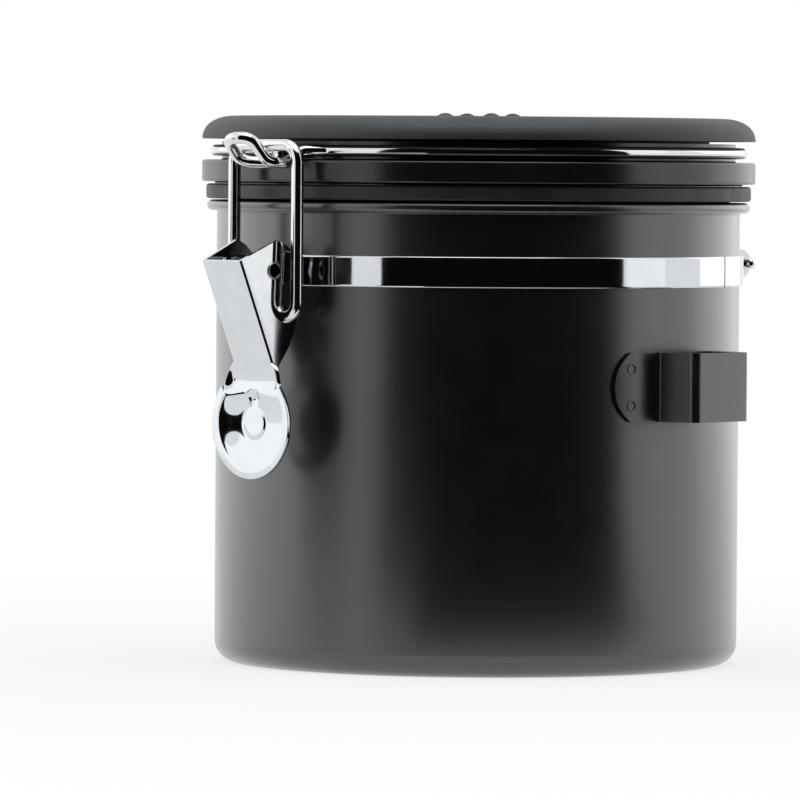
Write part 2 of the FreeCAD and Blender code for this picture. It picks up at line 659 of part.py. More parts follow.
def make_lever():
    """Stamped lever: flat web between two cheeks, and a dished round tab. Made facing +Y, then turned."""
    top_reach = f"({pivot_reach} + web_top_reach)"
    slope_run = "(web_top_reach + web_low_in)"
    slope_rise = "(web_top_rise + web_low_drop)"
    step = f"(lever_sheet * sqrt({slope_run} ^ 2 + {slope_rise} ^ 2) / {slope_rise})"
    body = new_body("latch_lever")
    side_pad(body, "lever_block", [
        (top_reach, web_top),
        (f"{pivot_reach} - cheek_peak_in", f"{pivot_level} + cheek_peak_rise"),
        (f"{pivot_reach} - cheek_back", f"{pivot_level} + cheek_back_rise"),
        (f"{pivot_reach} - cheek_heel", f"{pivot_level} - cheek_heel_drop"),
        (f"{pivot_reach} - cheek_toe", f"{pivot_level} - cheek_toe_drop"),
        (tab_face, web_low),
    ], "lever_width")
    side_pocket(body, "lever_channel", [
        (f"{tab_face} - {step} - {slope_run} / 4", f"{web_low} - {slope_rise} / 4"),
        (f"{top_reach} - {step} + {slope_run} / 4", f"{web_top} + {slope_rise} / 4"),
        ("can_radius - base_round", f"{web_top} + {slope_rise} / 4"),
        ("can_radius - base_round", f"{web_low} - {slope_rise} / 4"),
    ], f"2 * {cheek_inner}")
    dome = "((tab_dome ^ 2 + tab_dome_rise ^ 2) / (2 * tab_dome_rise))"
    rim_width = "(tab_radius - tab_valley)"
    rim = f"(({rim_width} ^ 2 + tab_rim_rise ^ 2) / (2 * tab_rim_rise))"
    back = f"({tab_face} - lever_sheet)"
    sketch = new_sketch(body, "tab_profile", "YZ_Plane")
    axis = Part.LineSegment(Vector(number(back), number(tab_level), 0),
                            Vector(number(f"{tab_face} + tab_dome_rise"), number(tab_level), 0))
    sketch.addGeometry(axis, True)
    place(sketch, 0, 1, back, tab_level)
    place(sketch, 0, 2, f"{tab_face} + tab_dome_rise", tab_level)
    outline(sketch, [
        (f"{tab_face} + tab_dome_rise", tab_level, dome),
        (tab_face, f"{tab_level} + tab_dome"),
        (tab_face, f"{tab_level} + tab_valley", f"-{rim}"),
        (f"{tab_face} + tab_rim_rise", f"{tab_level} + tab_radius"),
        (f"{back} + tab_rim_rise", f"{tab_level} + tab_radius", rim),
        (back, f"{tab_level} + tab_valley"),
        (back, f"{tab_level} + tab_dome", f"-{dome}"),
        (f"{back} + tab_dome_rise", tab_level),
    ])
    tab = body.newObject("PartDesign::Revolution", "thumb_tab")
    tab.Profile = sketch
    tab.ReferenceAxis = (sketch, ["Axis0"])
    tab.Angle = 360
    cross_hole(body, "lever_pin_holes", pivot_reach, pivot_level, "pin_radius + pin_fit", "lever_width")
    cross_hole(body, "lever_bail_holes", bail_reach, hole_level, "bail_wire_radius + bail_fit", "lever_width")
    face_about_z(body, 180)
    return body


def bent_run(points, bends):
    """Straight runs with a tangent arc at each inner point."""
    edges = []
    here = points[0]
    for before, corner, after, radius in zip(points, points[1:], points[2:], bends):
        back = (before - corner).normalize()
        ahead = (after - corner).normalize()
        half = back.getAngle(ahead) / 2
        start = corner + back * (radius / math.tan(half))
        end = corner + ahead * (radius / math.tan(half))
        inward = (back + ahead).normalize()
        middle = corner + inward * (radius / math.sin(half) - radius)
        edges.append(Part.LineSegment(here, start).toShape())
        edges.append(Part.Arc(start, middle, end).toShape())
        here = end
    edges.append(Part.LineSegment(here, points[-1]).toShape())
    return edges


def wire_solid(label, edges, radius):
    """Round wire along the edges, with rounded ends."""
    path = Part.Wire(edges)
    ends = [path.OrderedVertexes[0].Point, path.OrderedVertexes[-1].Point]
    heading = edges[0].tangentAt(edges[0].FirstParameter)
    profile = Part.Wire([Part.Circle(ends[0], heading, radius).toShape()])
    solid = path.makePipeShell([profile], True, False)
    print(label, "volume over section times length", solid.Volume / (math.pi * radius ** 2 * path.Length))
    solid = solid.fuse([Part.makeSphere(radius, end) for end in ends]).removeSplitter()
    wire = doc.addObject("Part::Feature", label)
    wire.Label = label
    wire.Shape = solid.Solids[0] if len(solid.Solids) == 1 else solid
    return wire


def make_lid_wire():
    """Hinge legs at the back, a ring in the lid's groove, and a raised loop at the front."""
    ring = number(wire_ring)
    level = number(wire_level)
    low = number(loop_low)
    rise = number("loop_climb")
    edge = number(lid_radius)
    bend = number("loop_bend")
    leg = number("leg_half")
    back = number(hinge_reach)
    hinge = number(hinge_level)
    tip = number("hinge_ear_half + tip_reach")
    leg_bend = number("leg_bend")
    rear_turn = math.radians(number("rear_turn"))
    front_turn = math.radians(number("front_turn"))

    def on_ring(side, turn, front):
        along = Vector(side * ring * math.sin(turn), ring * math.cos(turn) * (-1 if front else 1), level)
        heading = Vector(-side * math.cos(turn), math.sin(turn) * (-1 if front else 1), 0)
        return along, heading

    def rear_points(side):
        leave, heading = on_ring(side, rear_turn, False)
        corner = leave + heading * ((abs(leave.x) - leg) / math.cos(rear_turn))
        return [
            Vector(side * tip, back, hinge),
            Vector(side * leg, back, hinge),
            Vector(side * leg, back, level),
            corner,
            leave,
        ]

    def ring_arc(side):
        rear = on_ring(side, rear_turn, False)[0]
        front = on_ring(side, front_turn, True)[0]
        return rear, Vector(side * ring, 0, level), front

    half = number("loop_half")
    tip_half = number("loop_tip_half")
    root = number("loop_root_shift")
    root_half = number("loop_root_half")
    reach = number("loop_reach")
    knee = number("loop_knee")
    gap = number("wire_radius + loop_bend / 2")
    shoulder = edge - number("loop_drop")
    near, near_heading = on_ring(1, front_turn, True)
    far, far_heading = on_ring(-1, front_turn, True)
    loop = [
        near,
        near + near_heading * bend / 2,
        Vector(root + root_half + bend / 2, -shoulder, level),
        Vector(root + root_half, -(edge + gap), low),
        Vector(half, -(edge + knee), low + rise / 15),
        Vector(tip_half, -(edge + reach * 0.85), low + rise),
        Vector(0, -(edge + reach), low + rise),
        Vector(-tip_half, -(edge + reach * 0.85), low + rise * 0.85),
        Vector(-half, -(edge + knee), low + rise / 15),
        Vector(root - root_half, -(edge + gap), low),
        Vector(root - root_half - bend, -shoulder, level),
        far + far_heading * bend / 2,
        far,
    ]
    bends = [2 * bend, bend, bend, 1.3 * bend, bend, bend, bend, 1.2 * bend, 0.8 * bend, bend, 2 * bend]
    near_rear = rear_points(1)
    far_rear = rear_points(-1)
    near_arc = ring_arc(1)
    far_arc = ring_arc(-1)
    leg_bends = [leg_bend, leg_bend, leg_bend]
    edges = bent_run(near_rear, leg_bends)
    edges.append(Part.Arc(*near_arc).toShape())
    edges += bent_run(loop, bends)
    edges.append(Part.Arc(*reversed(far_arc)).toShape())
    edges += bent_run(list(reversed(far_rear)), leg_bends)
    return wire_solid("lid_wire", edges, number("wire_radius"))


def make_bail():
    """Upright rectangle of wire, its ends turned in through the lever's cheeks."""
    out = -number(bail_reach)
    half = number("bail_half")
    low = number(hole_level)
    top = number(bail_level)
    end = number(f"{cheek_inner} - bail_end")
    bar = number("bail_bend")
    foot = number("bail_foot_bend")
    points = [
        Vector(end, out, low),
        Vector(half, out, low),
        Vector(half, out, top),
        Vector(-half, out, top),
        Vector(-half, out, low),
        Vector(-end, out, low),
    ]
    return wire_solid("bail_wire", bent_run(points, [foot, bar, bar, foot]), number("bail_wire_radius"))


pieces = [
    make_can(), make_band(), make_latch_bracket(), make_pivot_pin(), make_hinge_bracket(), make_hook(),
    make_lid_base(), make_lid_cap(), make_gasket(), make_flap(), make_dial(), make_lid_wire(),
    make_lever(), make_bail(),
]
doc.recompute()

faults = [item.Label for item in doc.Objects if {"Invalid", "Error"} & set(item.State)]
faults += [piece.Label for piece in pieces if piece.Shape.isNull() or not piece.Shape.isValid()]
if faults:
    raise RuntimeError("these did not build: " + ", ".join(faults))

os.makedirs("parts", exist_ok=True)
for piece in pieces:
    piece.Shape.exportStep(f"parts/{piece.Label}.step")
    print(piece.Label, len(piece.Shape.Solids), "solid,", round(piece.Shape.Volume, 1), "mm3")
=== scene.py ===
import math

import bmesh
import bpy
from mathutils import Matrix, Vector


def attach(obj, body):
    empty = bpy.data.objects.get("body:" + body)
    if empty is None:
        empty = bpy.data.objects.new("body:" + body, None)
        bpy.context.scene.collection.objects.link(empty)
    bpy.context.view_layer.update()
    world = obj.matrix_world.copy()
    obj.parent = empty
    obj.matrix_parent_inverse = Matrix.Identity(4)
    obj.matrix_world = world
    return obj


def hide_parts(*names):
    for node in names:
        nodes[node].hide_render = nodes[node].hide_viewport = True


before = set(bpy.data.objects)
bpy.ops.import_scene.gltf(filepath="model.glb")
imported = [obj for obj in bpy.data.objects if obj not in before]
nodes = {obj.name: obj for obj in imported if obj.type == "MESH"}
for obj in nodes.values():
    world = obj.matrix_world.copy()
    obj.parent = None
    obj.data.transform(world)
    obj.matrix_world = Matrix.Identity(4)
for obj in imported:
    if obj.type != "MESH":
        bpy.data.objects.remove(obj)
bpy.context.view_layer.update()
print("frame loaded,", len(nodes), "nodes")

mm = 0.001  # drawings below are in millimetres
samePoint = 0.0001 * mm  # corners of one drawing that fall together
closePoints = 0.002 * mm  # points left nearer than this by cuts and bevels
creaseAngle = 32  # degrees, edges sharper than this stay sharp in the shading
roundAngle = 60  # degrees, the same for wires and weld rings
bevelAngle = 50  # degrees, sheet edges sharper than this are softened
fineTurn = 288  # segments round the large turned pieces
scene = bpy.context.scene


# Mesh helpers

def linkMesh(name, mesh):
    piece = bpy.data.objects.new(name, mesh)
    scene.collection.objects.link(piece)
    return piece


def smoothMesh(mesh, angle):
    mesh.shade_smooth()
    mesh.set_sharp_from_angle(angle=math.radians(angle))
    return mesh


def meshFrom(name, verts, faces, angle=creaseAngle):
    form = bmesh.new()
    corners = [form.verts.new(Vector(v) * mm) for v in verts]
    for face in faces:
        if len(set(face)) == len(face):
            form.faces.new([corners[i] for i in face])
    bmesh.ops.remove_doubles(form, verts=form.verts, dist=samePoint)
    bmesh.ops.recalc_face_normals(form, faces=form.faces)
    mesh = bpy.data.meshes.new(name)
    form.to_mesh(mesh)
    form.free()
    return smoothMesh(mesh, angle)


def bakeModifiers(piece, angle=creaseAngle):
    # the evaluated shape becomes the piece's own plain mesh; without an angle its normals stay
    bpy.context.view_layer.update()
    ready = piece.evaluated_get(bpy.context.evaluated_depsgraph_get())
    mesh = bpy.data.meshes.new_from_object(ready)
    piece.modifiers.clear()
    piece.data = mesh
    if angle:
        form = bmesh.new()
        form.from_mesh(mesh)
        bmesh.ops.remove_doubles(form, verts=form.verts, dist=closePoints)
        bmesh.ops.dissolve_degenerate(form, edges=form.edges, dist=closePoints)
        form.to_mesh(mesh)
        form.free()
        mesh.validate()
        smoothMesh(mesh, angle)
    return piece


def addModifier(piece, kind, **settings):
    modifier = piece.modifiers.new(kind.title(), kind)
    for key, value in settings.items():
        setattr(modifier, key, value)


def dress(piece, body, slot, material, *replaced):
    piece.data.materials.clear()
    piece.data.materials.append(material)
    for face in piece.data.polygons:
        face.material_index = 0
    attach(piece, body)
    if replaced:
        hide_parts(*replaced)


def roundedOutline(corners, steps):
    # closed outline; a corner with a third number is rounded to that radius
    points = []
    for before, corner, after in zip(corners[-1:] + corners[:-1], corners, corners[1:] + corners[:1]):
        here = Vector(corner[:2])
        if len(corner) == 2:
            points.append(here)
            continue
        radius = corner[2]
        back = (Vector(before[:2]) - here).normalized()
        ahead = (Vector(after[:2]) - here).normalized()
        half = back.angle(ahead) / 2
        centre = here + (back + ahead).normalized() * radius / math.sin(half)
        start = here + back * radius / math.tan(half) - centre
        sweep = start.angle_signed(here + ahead * radius / math.tan(half) - centre)
        for step in range(steps + 1):
            turn = -sweep * step / steps
            points.append(centre + Matrix.Rotation(turn, 2) @ start)
    return points


def arcPoints(centre, radius, first, last, steps):
    # angles in degrees, counted from the outward direction
    points = []
    for step in range(steps + 1):
        turn = math.radians(first + (last - first) * step / steps)
        points.append(Vector((centre[0] + radius * math.cos(turn), centre[1] + radius * math.sin(turn))))
    return points


def supported(outline, near=0.08, longRun=0.6):
    # extra points close to the ends of long straight runs keep flat faces flat in the shading
    points = []
    for here, after in zip(outline, outline[1:] + outline[:1]):
        points.append(here)
        run = after - here
        if run.length > longRun:
            points += [here + run.normalized() * near, after - run.normalized() * near]
    return points


def lathe(name, outline, segments, first=0.0, sweep=360.0, angle=creaseAngle):
    # turns a closed (radius, height) outline about Z
    outline = supported(outline)
    whole = sweep >= 360
    rows = segments if whole else segments + 1
    verts = []
    for row in range(rows):
        turn = math.radians(first + sweep * row / segments)
        verts += [(r * math.cos(turn), r * math.sin(turn), z) for r, z in outline]
    count = len(outline)
    faces = []
    for row in range(segments):
        a = row * count
        b = ((row + 1) % rows) * count
        for i in range(count):
            j = (i + 1) % count
            onAxis = outline[i][0] < 1e-6 and outline[j][0] < 1e-6
            if onAxis:
                continue
            faces.append((a + i, b + i, b + j, a + j))
    if not whole:
        faces.append(tuple(range(count)))
        faces.append(tuple(range((rows - 1) * count, rows * count)))
    return linkMesh(name, meshFrom(name, verts, faces, angle))


def bentPath(points, bends, step=0.35, leastSteps=4):
    # straight runs with tangent arcs, as close points along the line
    points = [Vector(p) for p in points]
    path = [points[0]]
    for before, corner, after, radius in zip(points, points[1:], points[2:], bends):
        back = (before - corner).normalized()
        ahead = (after - corner).normalized()
        half = back.angle(ahead) / 2
        inward = (back + ahead).normalized()
        centre = corner + inward * radius / math.sin(half)
        start = corner + back * radius / math.tan(half) - centre
        end = corner + ahead * radius / math.tan(half) - centre
        axis = start.cross(end).normalized()
        sweep = start.angle(end)
        steps = max(leastSteps, int(sweep * radius / step))
        for i in range(steps + 1):
            path.append(centre + Matrix.Rotation(sweep * i / steps, 3, axis) @ start)
    path.append(points[-1])
    return path


def tube(name, path, radius, sides=28, tipRows=6, tipTurn=14.0625):
    # round wire along the path; its tips round off in rows that are tipTurn degrees apart
    path = [p for i, p in enumerate(path) if i == 0 or (p - path[i - 1]).length > 1e-4]
    first = (path[1] - path[0]).normalized()
    last = (path[-1] - path[-2]).normalized()
    stations = []
    for i in range(tipRows, 0, -1):
        turn = math.radians(tipTurn * i)
        stations.append((path[0] - first * radius * math.sin(turn), radius * math.cos(turn), first))
    for i, point in enumerate(path):
        ahead = (path[i + 1] - point).normalized() if i + 1 < len(path) else last
        behind = (point - path[i - 1]).normalized() if i else first
        stations.append((point, radius, (ahead + behind).normalized()))
    for i in range(1, tipRows + 1):
        turn = math.radians(tipTurn * i)
        stations.append((path[-1] + last * radius * math.sin(turn), radius * math.cos(turn), last))
    side = first.orthogonal().normalized()
    verts = []
    for point, size, heading in stations:
        side = (side - heading * side.dot(heading)).normalized()
        up = heading.cross(side)
        for i in range(sides):
            turn = 2 * math.pi * i / sides
            verts.append(point + (side * math.cos(turn) + up * math.sin(turn)) * size)
    faces = []
    for row in range(len(stations) - 1):
        for i in range(sides):
            j = (i + 1) % sides
            faces.append((row * sides + i, row * sides + j, (row + 1) * sides + j, (row + 1) * sides + i))
    faces.append(tuple(range(sides)))
    faces.append(tuple(range((len(stations) - 1) * sides, len(stations) * sides)))
    return linkMesh(name, meshFrom(name, verts, faces, roundAngle))


def softCopy(name, node, edge, segments=3, flatAngle=0.6, sharpAngle=40):
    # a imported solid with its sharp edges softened; facets within flatAngle degrees become one face
    form = bmesh.new()
    form.from_mesh(nodes[node].data)
    bmesh.ops.remove_doubles(form, verts=form.verts, dist=closePoints)
    bmesh.ops.dissolve_limit(form, angle_limit=math.radians(flatAngle), verts=form.verts, edges=form.edges)
    mesh = bpy.data.meshes.new(name)
    form.to_mesh(mesh)
    form.free()
    piece = linkMesh(name, smoothMesh(mesh, sharpAngle))
    addModifier(piece, "BEVEL", width=edge * mm, segments=segments, limit_method="ANGLE",
                angle_limit=math.radians(sharpAngle), use_clamp_overlap=True, harden_normals=True)
    return bakeModifiers(piece, None)


# Repeats made with Geometry Nodes

def repeatUnits(name, unit, material, values, layout):
    # one plain mesh of units, on the points that layout makes from the named values
    tree = bpy.data.node_groups.new(name + "Tree", "GeometryNodeTree")
    tree.interface.new_socket("Geometry", in_out="INPUT", socket_type="NodeSocketGeometry")
    sockets = {}
    for label, value in values.items():
        kind = "NodeSocketInt" if isinstance(value, int) else "NodeSocketFloat"
        sockets[label] = tree.interface.new_socket(label, in_out="INPUT", socket_type=kind).identifier
    tree.interface.new_socket("Geometry", in_out="OUTPUT", socket_type="NodeSocketGeometry")
    link = tree.links.new
    given = tree.nodes.new("NodeGroupInput")
    result = tree.nodes.new("NodeGroupOutput")
    source = tree.nodes.new("GeometryNodeObjectInfo")
    source.inputs["Object"].default_value = unit
    place = tree.nodes.new("GeometryNodeInstanceOnPoints")
    realize = tree.nodes.new("GeometryNodeRealizeInstances")
    finish = tree.nodes.new("GeometryNodeSetMaterial")
    finish.inputs["Material"].default_value = material
    link(source.outputs["Geometry"], place.inputs["Instance"])
    link(layout(tree, given, place), realize.inputs["Geometry"])
    link(realize.outputs["Geometry"], finish.inputs["Geometry"])
    link(finish.outputs["Geometry"], result.inputs[0])
    piece = linkMesh(name, bpy.data.meshes.new(name))
    modifier = piece.modifiers.new("Units", "NODES")
    modifier.node_group = tree
    for label, value in values.items():
        modifier[sockets[label]] = value
    bakeModifiers(piece)
    bpy.data.objects.remove(unit)
    return piece


def ringOfUnits(name, unit, ring, material):
    # unit pieces round a circle; ring holds count, radius, startAngle and level
    def layout(tree, given, place):
        add = tree.nodes.new
        link = tree.links.new
        circle = add("GeometryNodeMeshCircle")
        index = add("GeometryNodeInputIndex")
        share = add("ShaderNodeMath")
        share.operation = "DIVIDE"
        full = add("ShaderNodeMath")
        full.operation = "MULTIPLY"
        full.inputs[1].default_value = 2 * math.pi
        spin = add("ShaderNodeCombineXYZ")
        turn = add("ShaderNodeCombineXYZ")
        lift = add("ShaderNodeCombineXYZ")
        move = add("GeometryNodeTransform")
        link(given.outputs["Count"], circle.inputs["Vertices"])
        link(given.outputs["Ring Radius"], circle.inputs["Radius"])
        link(index.outputs[0], share.inputs[0])
        link(given.outputs["Count"], share.inputs[1])
        link(share.outputs[0], full.inputs[0])
        link(full.outputs[0], spin.inputs["Z"])
        link(circle.outputs["Mesh"], place.inputs["Points"])
        link(spin.outputs[0], place.inputs["Rotation"])
        link(place.outputs["Instances"], move.inputs["Geometry"])
        link(given.outputs["Start Angle"], turn.inputs["Z"])
        link(given.outputs["Level"], lift.inputs["Z"])
        link(turn.outputs[0], move.inputs["Rotation"])
        link(lift.outputs[0], move.inputs["Translation"])
        return move.outputs["Geometry"]

    values = {"Count": ring["count"], "Ring Radius": ring["radius"] * mm,
              "Start Angle": math.radians(ring["startAngle"]), "Level": ring["level"] * mm}
    return repeatUnits(name, unit, material, values, layout)


def rowOfUnits(name, unit, row, material):
    # unit pieces in a row along Z; row holds count and spacing
    def layout(tree, given, place):
        link = tree.links.new
        line = tree.nodes.new("GeometryNodeMeshLine")
        step = tree.nodes.new("ShaderNodeCombineXYZ")
        link(given.outputs["Count"], line.inputs["Count"])
        link(given.outputs["Spacing"], step.inputs["Z"])
        link(step.outputs[0], line.inputs["Offset"])
        link(line.outputs["Mesh"], place.inputs["Points"])
        return place.outputs["Instances"]

    return repeatUnits(name, unit, material, {"Count": row["count"], "Spacing": row["spacing"] * mm}, layout)


# Finishes

def newFinish(name, colour, metallic, roughness, specular):
    material = bpy.data.materials.new(name)
    material.use_nodes = True
    shader = material.node_tree.nodes["Principled BSDF"]
    shader.inputs["Base Color"].default_value = (*colour, 1)
    shader.inputs["Metallic"].default_value = metallic
    shader.inputs["Roughness"].default_value = roughness
    shader.inputs["Specular IOR Level"].default_value = specular
    if not metallic:
        # the blacks shine a little cool
        shader.inputs["Specular Tint"].default_value = (0.88, 0.95, 1, 1)
    return material, shader


def grain(material, scale, detail, stretch=(1, 1, 1)):
    # noise on the piece's own coordinates, in cycles per metre
    tree = material.node_tree
    place = tree.nodes.new("ShaderNodeTexCoord")
    size = tree.nodes.new("ShaderNodeMapping")
    size.inputs["Scale"].default_value = stretch
    noise = tree.nodes.new("ShaderNodeTexNoise")
    noise.inputs["Scale"].default_value = scale
    noise.inputs["Detail"].default_value = detail
    tree.links.new(place.outputs["Object"], size.inputs["Vector"])
    tree.links.new(size.outputs["Vector"], noise.inputs["Vector"])
    return noise.outputs["Fac"]


def spread(material, source, low, high, fromLow=0.35, fromHigh=0.65):
    # the middle of a noise, or the given stretch of a value, runs from low to high
    tree = material.node_tree
    band = tree.nodes.new("ShaderNodeMapRange")
    band.inputs["From Min"].default_value = fromLow
    band.inputs["From Max"].default_value = fromHigh
    band.inputs["To Min"].default_value = low
    band.inputs["To Max"].default_value = high
    tree.links.new(source, band.inputs["Value"])
    return band.outputs["Result"]


def addBump(material, shader, source, depth):
    tree = material.node_tree
    bump = tree.nodes.new("ShaderNodeBump")
    bump.inputs["Distance"].default_value = depth * mm
    bump.inputs["Strength"].default_value = 1.0
    tree.links.new(source, bump.inputs["Height"])
    tree.links.new(bump.outputs["Normal"], shader.inputs["Normal"])


def tintBetween(material, shader, source, dark, pale):
    tree = material.node_tree
    blend = tree.nodes.new("ShaderNodeMix")
    blend.data_type = "RGBA"
    blend.inputs["A"].default_value = (*dark, 1)
    blend.inputs["B"].default_value = (*pale, 1)
    tree.links.new(source, blend.inputs["Factor"])
    tree.links.new(blend.outputs["Result"], shader.inputs["Base Color"])


def grainyFinish(name, s):
    # roughness, tint and bump each follow a noise of their own, given as scale and detail
    material, shader = newFinish(name, s["colour"], s["metallic"], s["plainRough"], s["specular"])
    haze = spread(material, grain(material, *s["roughGrain"]), *s["rough"])
    material.node_tree.links.new(haze, shader.inputs["Roughness"])
    tone = spread(material, grain(material, *s["toneGrain"]), 0, 1)
    tintBetween(material, shader, tone, s["dark"], s["pale"])
    addBump(material, shader, grain(material, *s["bumpGrain"]), s["bumpDepth"])
    return material


# powder coat on steel: a low orange peel and faint handling marks
paintLook = {
    "colour": (0.004, 0.004, 0.0045), "metallic": 0, "specular": 1.0, "plainRough": 0.3,
    "rough": (0.25, 0.3), "roughGrain": (22, 5),
    "dark": (0.0032, 0.0032, 0.0036), "pale": (0.005, 0.005, 0.0054), "toneGrain": (160, 3),
    "bumpGrain": (900, 1.5), "bumpDepth": 0.012, "coat": 0.85, "coatRough": 0.27,
}

# spark-eroded mould texture on the cap and the dial
matteLook = {
    "colour": (0.012, 0.012, 0.0125), "metallic": 0, "specular": 0.75, "plainRough": 0.56,
    "rough": (0.53, 0.59), "roughGrain": (60, 4),
    "dark": (0.009, 0.009, 0.0095), "pale": (0.015, 0.015, 0.0155), "toneGrain": (1500, 2),
    "bumpGrain": (2600, 2), "bumpDepth": 0.05,
}

# polished mould with slight flow lines
glossLook = {
    "colour": (0.004, 0.004, 0.0045), "metallic": 0, "specular": 0.75, "plainRough": 0.24,
    "rough": (0.2, 0.28), "roughGrain": (45, 4),
    "dark": (0.0034, 0.0034, 0.0038), "pale": (0.005, 0.005, 0.0055), "toneGrain": (90, 3),
    "bumpGrain": (34, 1, (1, 1, 3)), "bumpDepth": 0.01,
}

# soft skin with a little bloom
rubberLook = {
    "colour": (0.008, 0.008, 0.008), "metallic": 0, "specular": 0.6, "plainRough": 0.52,
    "rough": (0.46, 0.6), "roughGrain": (120, 4),
    "dark": (0.006, 0.006, 0.006), "pale": (0.011, 0.011, 0.0105), "toneGrain": (120, 4),
    "bumpGrain": (1800, 2), "bumpDepth": 0.02,
}

# plated steel: polishing haze and a slight ripple of the sheet, of the drawn wire and of the worn pin
plateLook = {
    "colour": (0.68, 0.70, 0.72), "metallic": 1, "specular": 0.5, "plainRough": 0.05,
    "rough": (0.035, 0.08), "roughGrain": (70, 5),
    "dark": (0.646, 0.665, 0.684), "pale": (0.68, 0.70, 0.72), "toneGrain": (240, 4),
    "bumpGrain": (38, 1), "bumpDepth": 0.012,
}
wireLook = {
    **plateLook, "colour": (0.74, 0.755, 0.77), "rough": (0.04, 0.1),
    "dark": (0.703, 0.71725, 0.7315), "pale": (0.74, 0.755, 0.77), "bumpGrain": (60, 1), "bumpDepth": 0.006,
}
pinLook = {
    **plateLook, "colour": (0.58, 0.55, 0.51), "rough": (0.14, 0.3),
    "dark": (0.551, 0.5225, 0.4845), "pale": (0.58, 0.55, 0.51), "bumpGrain": (300, 1), "bumpDepth": 0.01,
}


def addCoat(material, s):
    shader = material.node_tree.nodes["Principled BSDF"]
    shader.inputs["Coat Weight"].default_value = s["coat"]
    shader.inputs["Coat Roughness"].default_value = s["coatRough"]


def paintedBoreShade(material, s):
    # painted shade: the inside of a tube along X is coloured dark, in place of the shade that falls inside the bore
    tree = material.node_tree
    shader = tree.nodes["Principled BSDF"]
    plain = shader.inputs["Base Color"].links[0].from_socket
    place = tree.nodes.new("ShaderNodeTexCoord")
    shift = tree.nodes.new("ShaderNodeVectorMath")
    shift.operation = "SUBTRACT"
    shift.inputs[1].default_value = (0, -s["reach"] * mm, s["level"] * mm)
    flat = tree.nodes.new("ShaderNodeVectorMath")
    flat.operation = "MULTIPLY"
    flat.inputs[1].default_value = (0, 1, 1)
    far = tree.nodes.new("ShaderNodeVectorMath")
    far.operation = "LENGTH"
    blend = tree.nodes.new("ShaderNodeMix")
    blend.data_type = "RGBA"
    blend.inputs["A"].default_value = (*s["boreShadeTone"], 1)
    tree.links.new(place.outputs["Object"], shift.inputs[0])
    tree.links.new(shift.outputs[0], flat.inputs[0])
    tree.links.new(flat.outputs[0], far.inputs[0])
    rim = s["bore"] + s["boreShadeFade"]
    # the painted shade fills the bore and fades out over its rim
    inside = spread(material, far.outputs["Value"], 0, 1, s["bore"] * mm, rim * mm)
    tree.links.new(inside, blend.inputs["Factor"])
    tree.links.new(plain, blend.inputs["B"])
    tree.links.new(blend.outputs["Result"], shader.inputs["Base Color"])


paint = grainyFinish("satinBlackPaint", paintLook)
addCoat(paint, paintLook)
matte = grainyFinish("matteBlackMoulding", matteLook)
gloss = grainyFinish("glossBlackMoulding", glossLook)
rubber = grainyFinish("blackSealRubber", rubberLook)
plate = grainyFinish("chromePlate", plateLook)
wirePlate = grainyFinish("chromeWire", wireLook)
pinPlate = grainyFinish("wornPinPlate", pinLook)
print("finishes made")


# The can and what is fixed to it

canSizes = {
    "radius": 60.0, "height": 105.8, "wall": 0.8, "baseRound": 5.0, "beadReach": 2.3, "beadHeight": 2.4,
    "beadRound": 1.19, "beadFoot": 0.35, "mouthRound": 0.7,
}


def makeCan(s):
    r = s["radius"]
    outer = r + s["beadReach"]
    under = s["height"] - s["beadHeight"]
    outline = roundedOutline([
        (0, 0), (r, 0, s["baseRound"]), (r, under, s["beadFoot"]), (outer, under, s["beadRound"]),
        (outer, s["height"], s["beadRound"]), (r - s["wall"], s["height"], s["mouthRound"]),
        (r - s["wall"], s["wall"], s["baseRound"] - s["wall"]), (0, s["wall"]),
    ], steps=9)
    return lathe("canShell", outline, fineTurn)


dress(makeCan(canSizes), "can", "black_steel", paint, "can_body")

bandSizes = {"inner": 60.05, "outer": 60.95, "low": 86.8, "top": 93.8, "edge": 0.42, "gap": 0.5, "gapAt": 21.5}


def makeBand(s):
    outline = roundedOutline([
        (s["inner"], s["low"]), (s["outer"], s["low"], s["edge"]),
        (s["outer"], s["top"], s["edge"]), (s["inner"], s["top"]),
    ], steps=5)
    return lathe("clampStrip", outline, fineTurn, s["gapAt"] + s["gap"] / 2, 360 - s["gap"])


dress(makeBand(bandSizes), "can", "chrome", plate, "clamp_band")

bracketEdge = 0.16
dress(softCopy("latchEars", "latch_bracket", bracketEdge), "can", "chrome", plate, "latch_bracket")
dress(softCopy("hingeEars", "hinge_bracket", bracketEdge), "can", "chrome", plate, "hinge_bracket")

pinSizes = {
    "radius": 2.0, "bore": 1.5, "half": 7.0, "edge": 0.22, "reach": 70.75, "level": 90.3,
    # the last two entries: fade width and tone of the painted shade in the pin's bore
    "boreShadeFade": 0.12, "boreShadeTone": (0.02, 0.019, 0.018),
}


def makePin(s):
    outline = roundedOutline([
        (s["bore"], -s["half"], s["edge"]), (s["radius"], -s["half"], s["edge"]),
        (s["radius"], s["half"], s["edge"]), (s["bore"], s["half"], s["edge"]),
    ], steps=4)
    pin = lathe("pivotTube", outline, segments=48)
    place = Matrix.Translation(Vector((0, -s["reach"], s["level"])) * mm)
    pin.data.transform(place @ Matrix.Rotation(math.pi / 2, 4, "Y"))
    return pin


# paints shade into the pin's bore
paintedBoreShade(pinPlate, pinSizes)
dress(makePin(pinSizes), "can", "chrome", pinPlate, "latch_pivot_pin")

hookSizes = {
    "azimuth": 96.0, "low": 57.0, "height": 15.5, "sheet": 0.9, "half": 10.0, "face": 71.0, "seat": 60.05,
    "footHalf": 21.5, "footSag": 4.2, "bend": 1.55, "edge": 0.28,
    "footSteps": 24, "bendStep": 0.12, "rows": 8, "tipHalf": 0.02,
    "weldCount": 2, "weldSpacing": 8.2, "weldAt": 17.4, "weldRing": 1.0, "weldLip": 0.045, "weldSunk": 0.2,
}


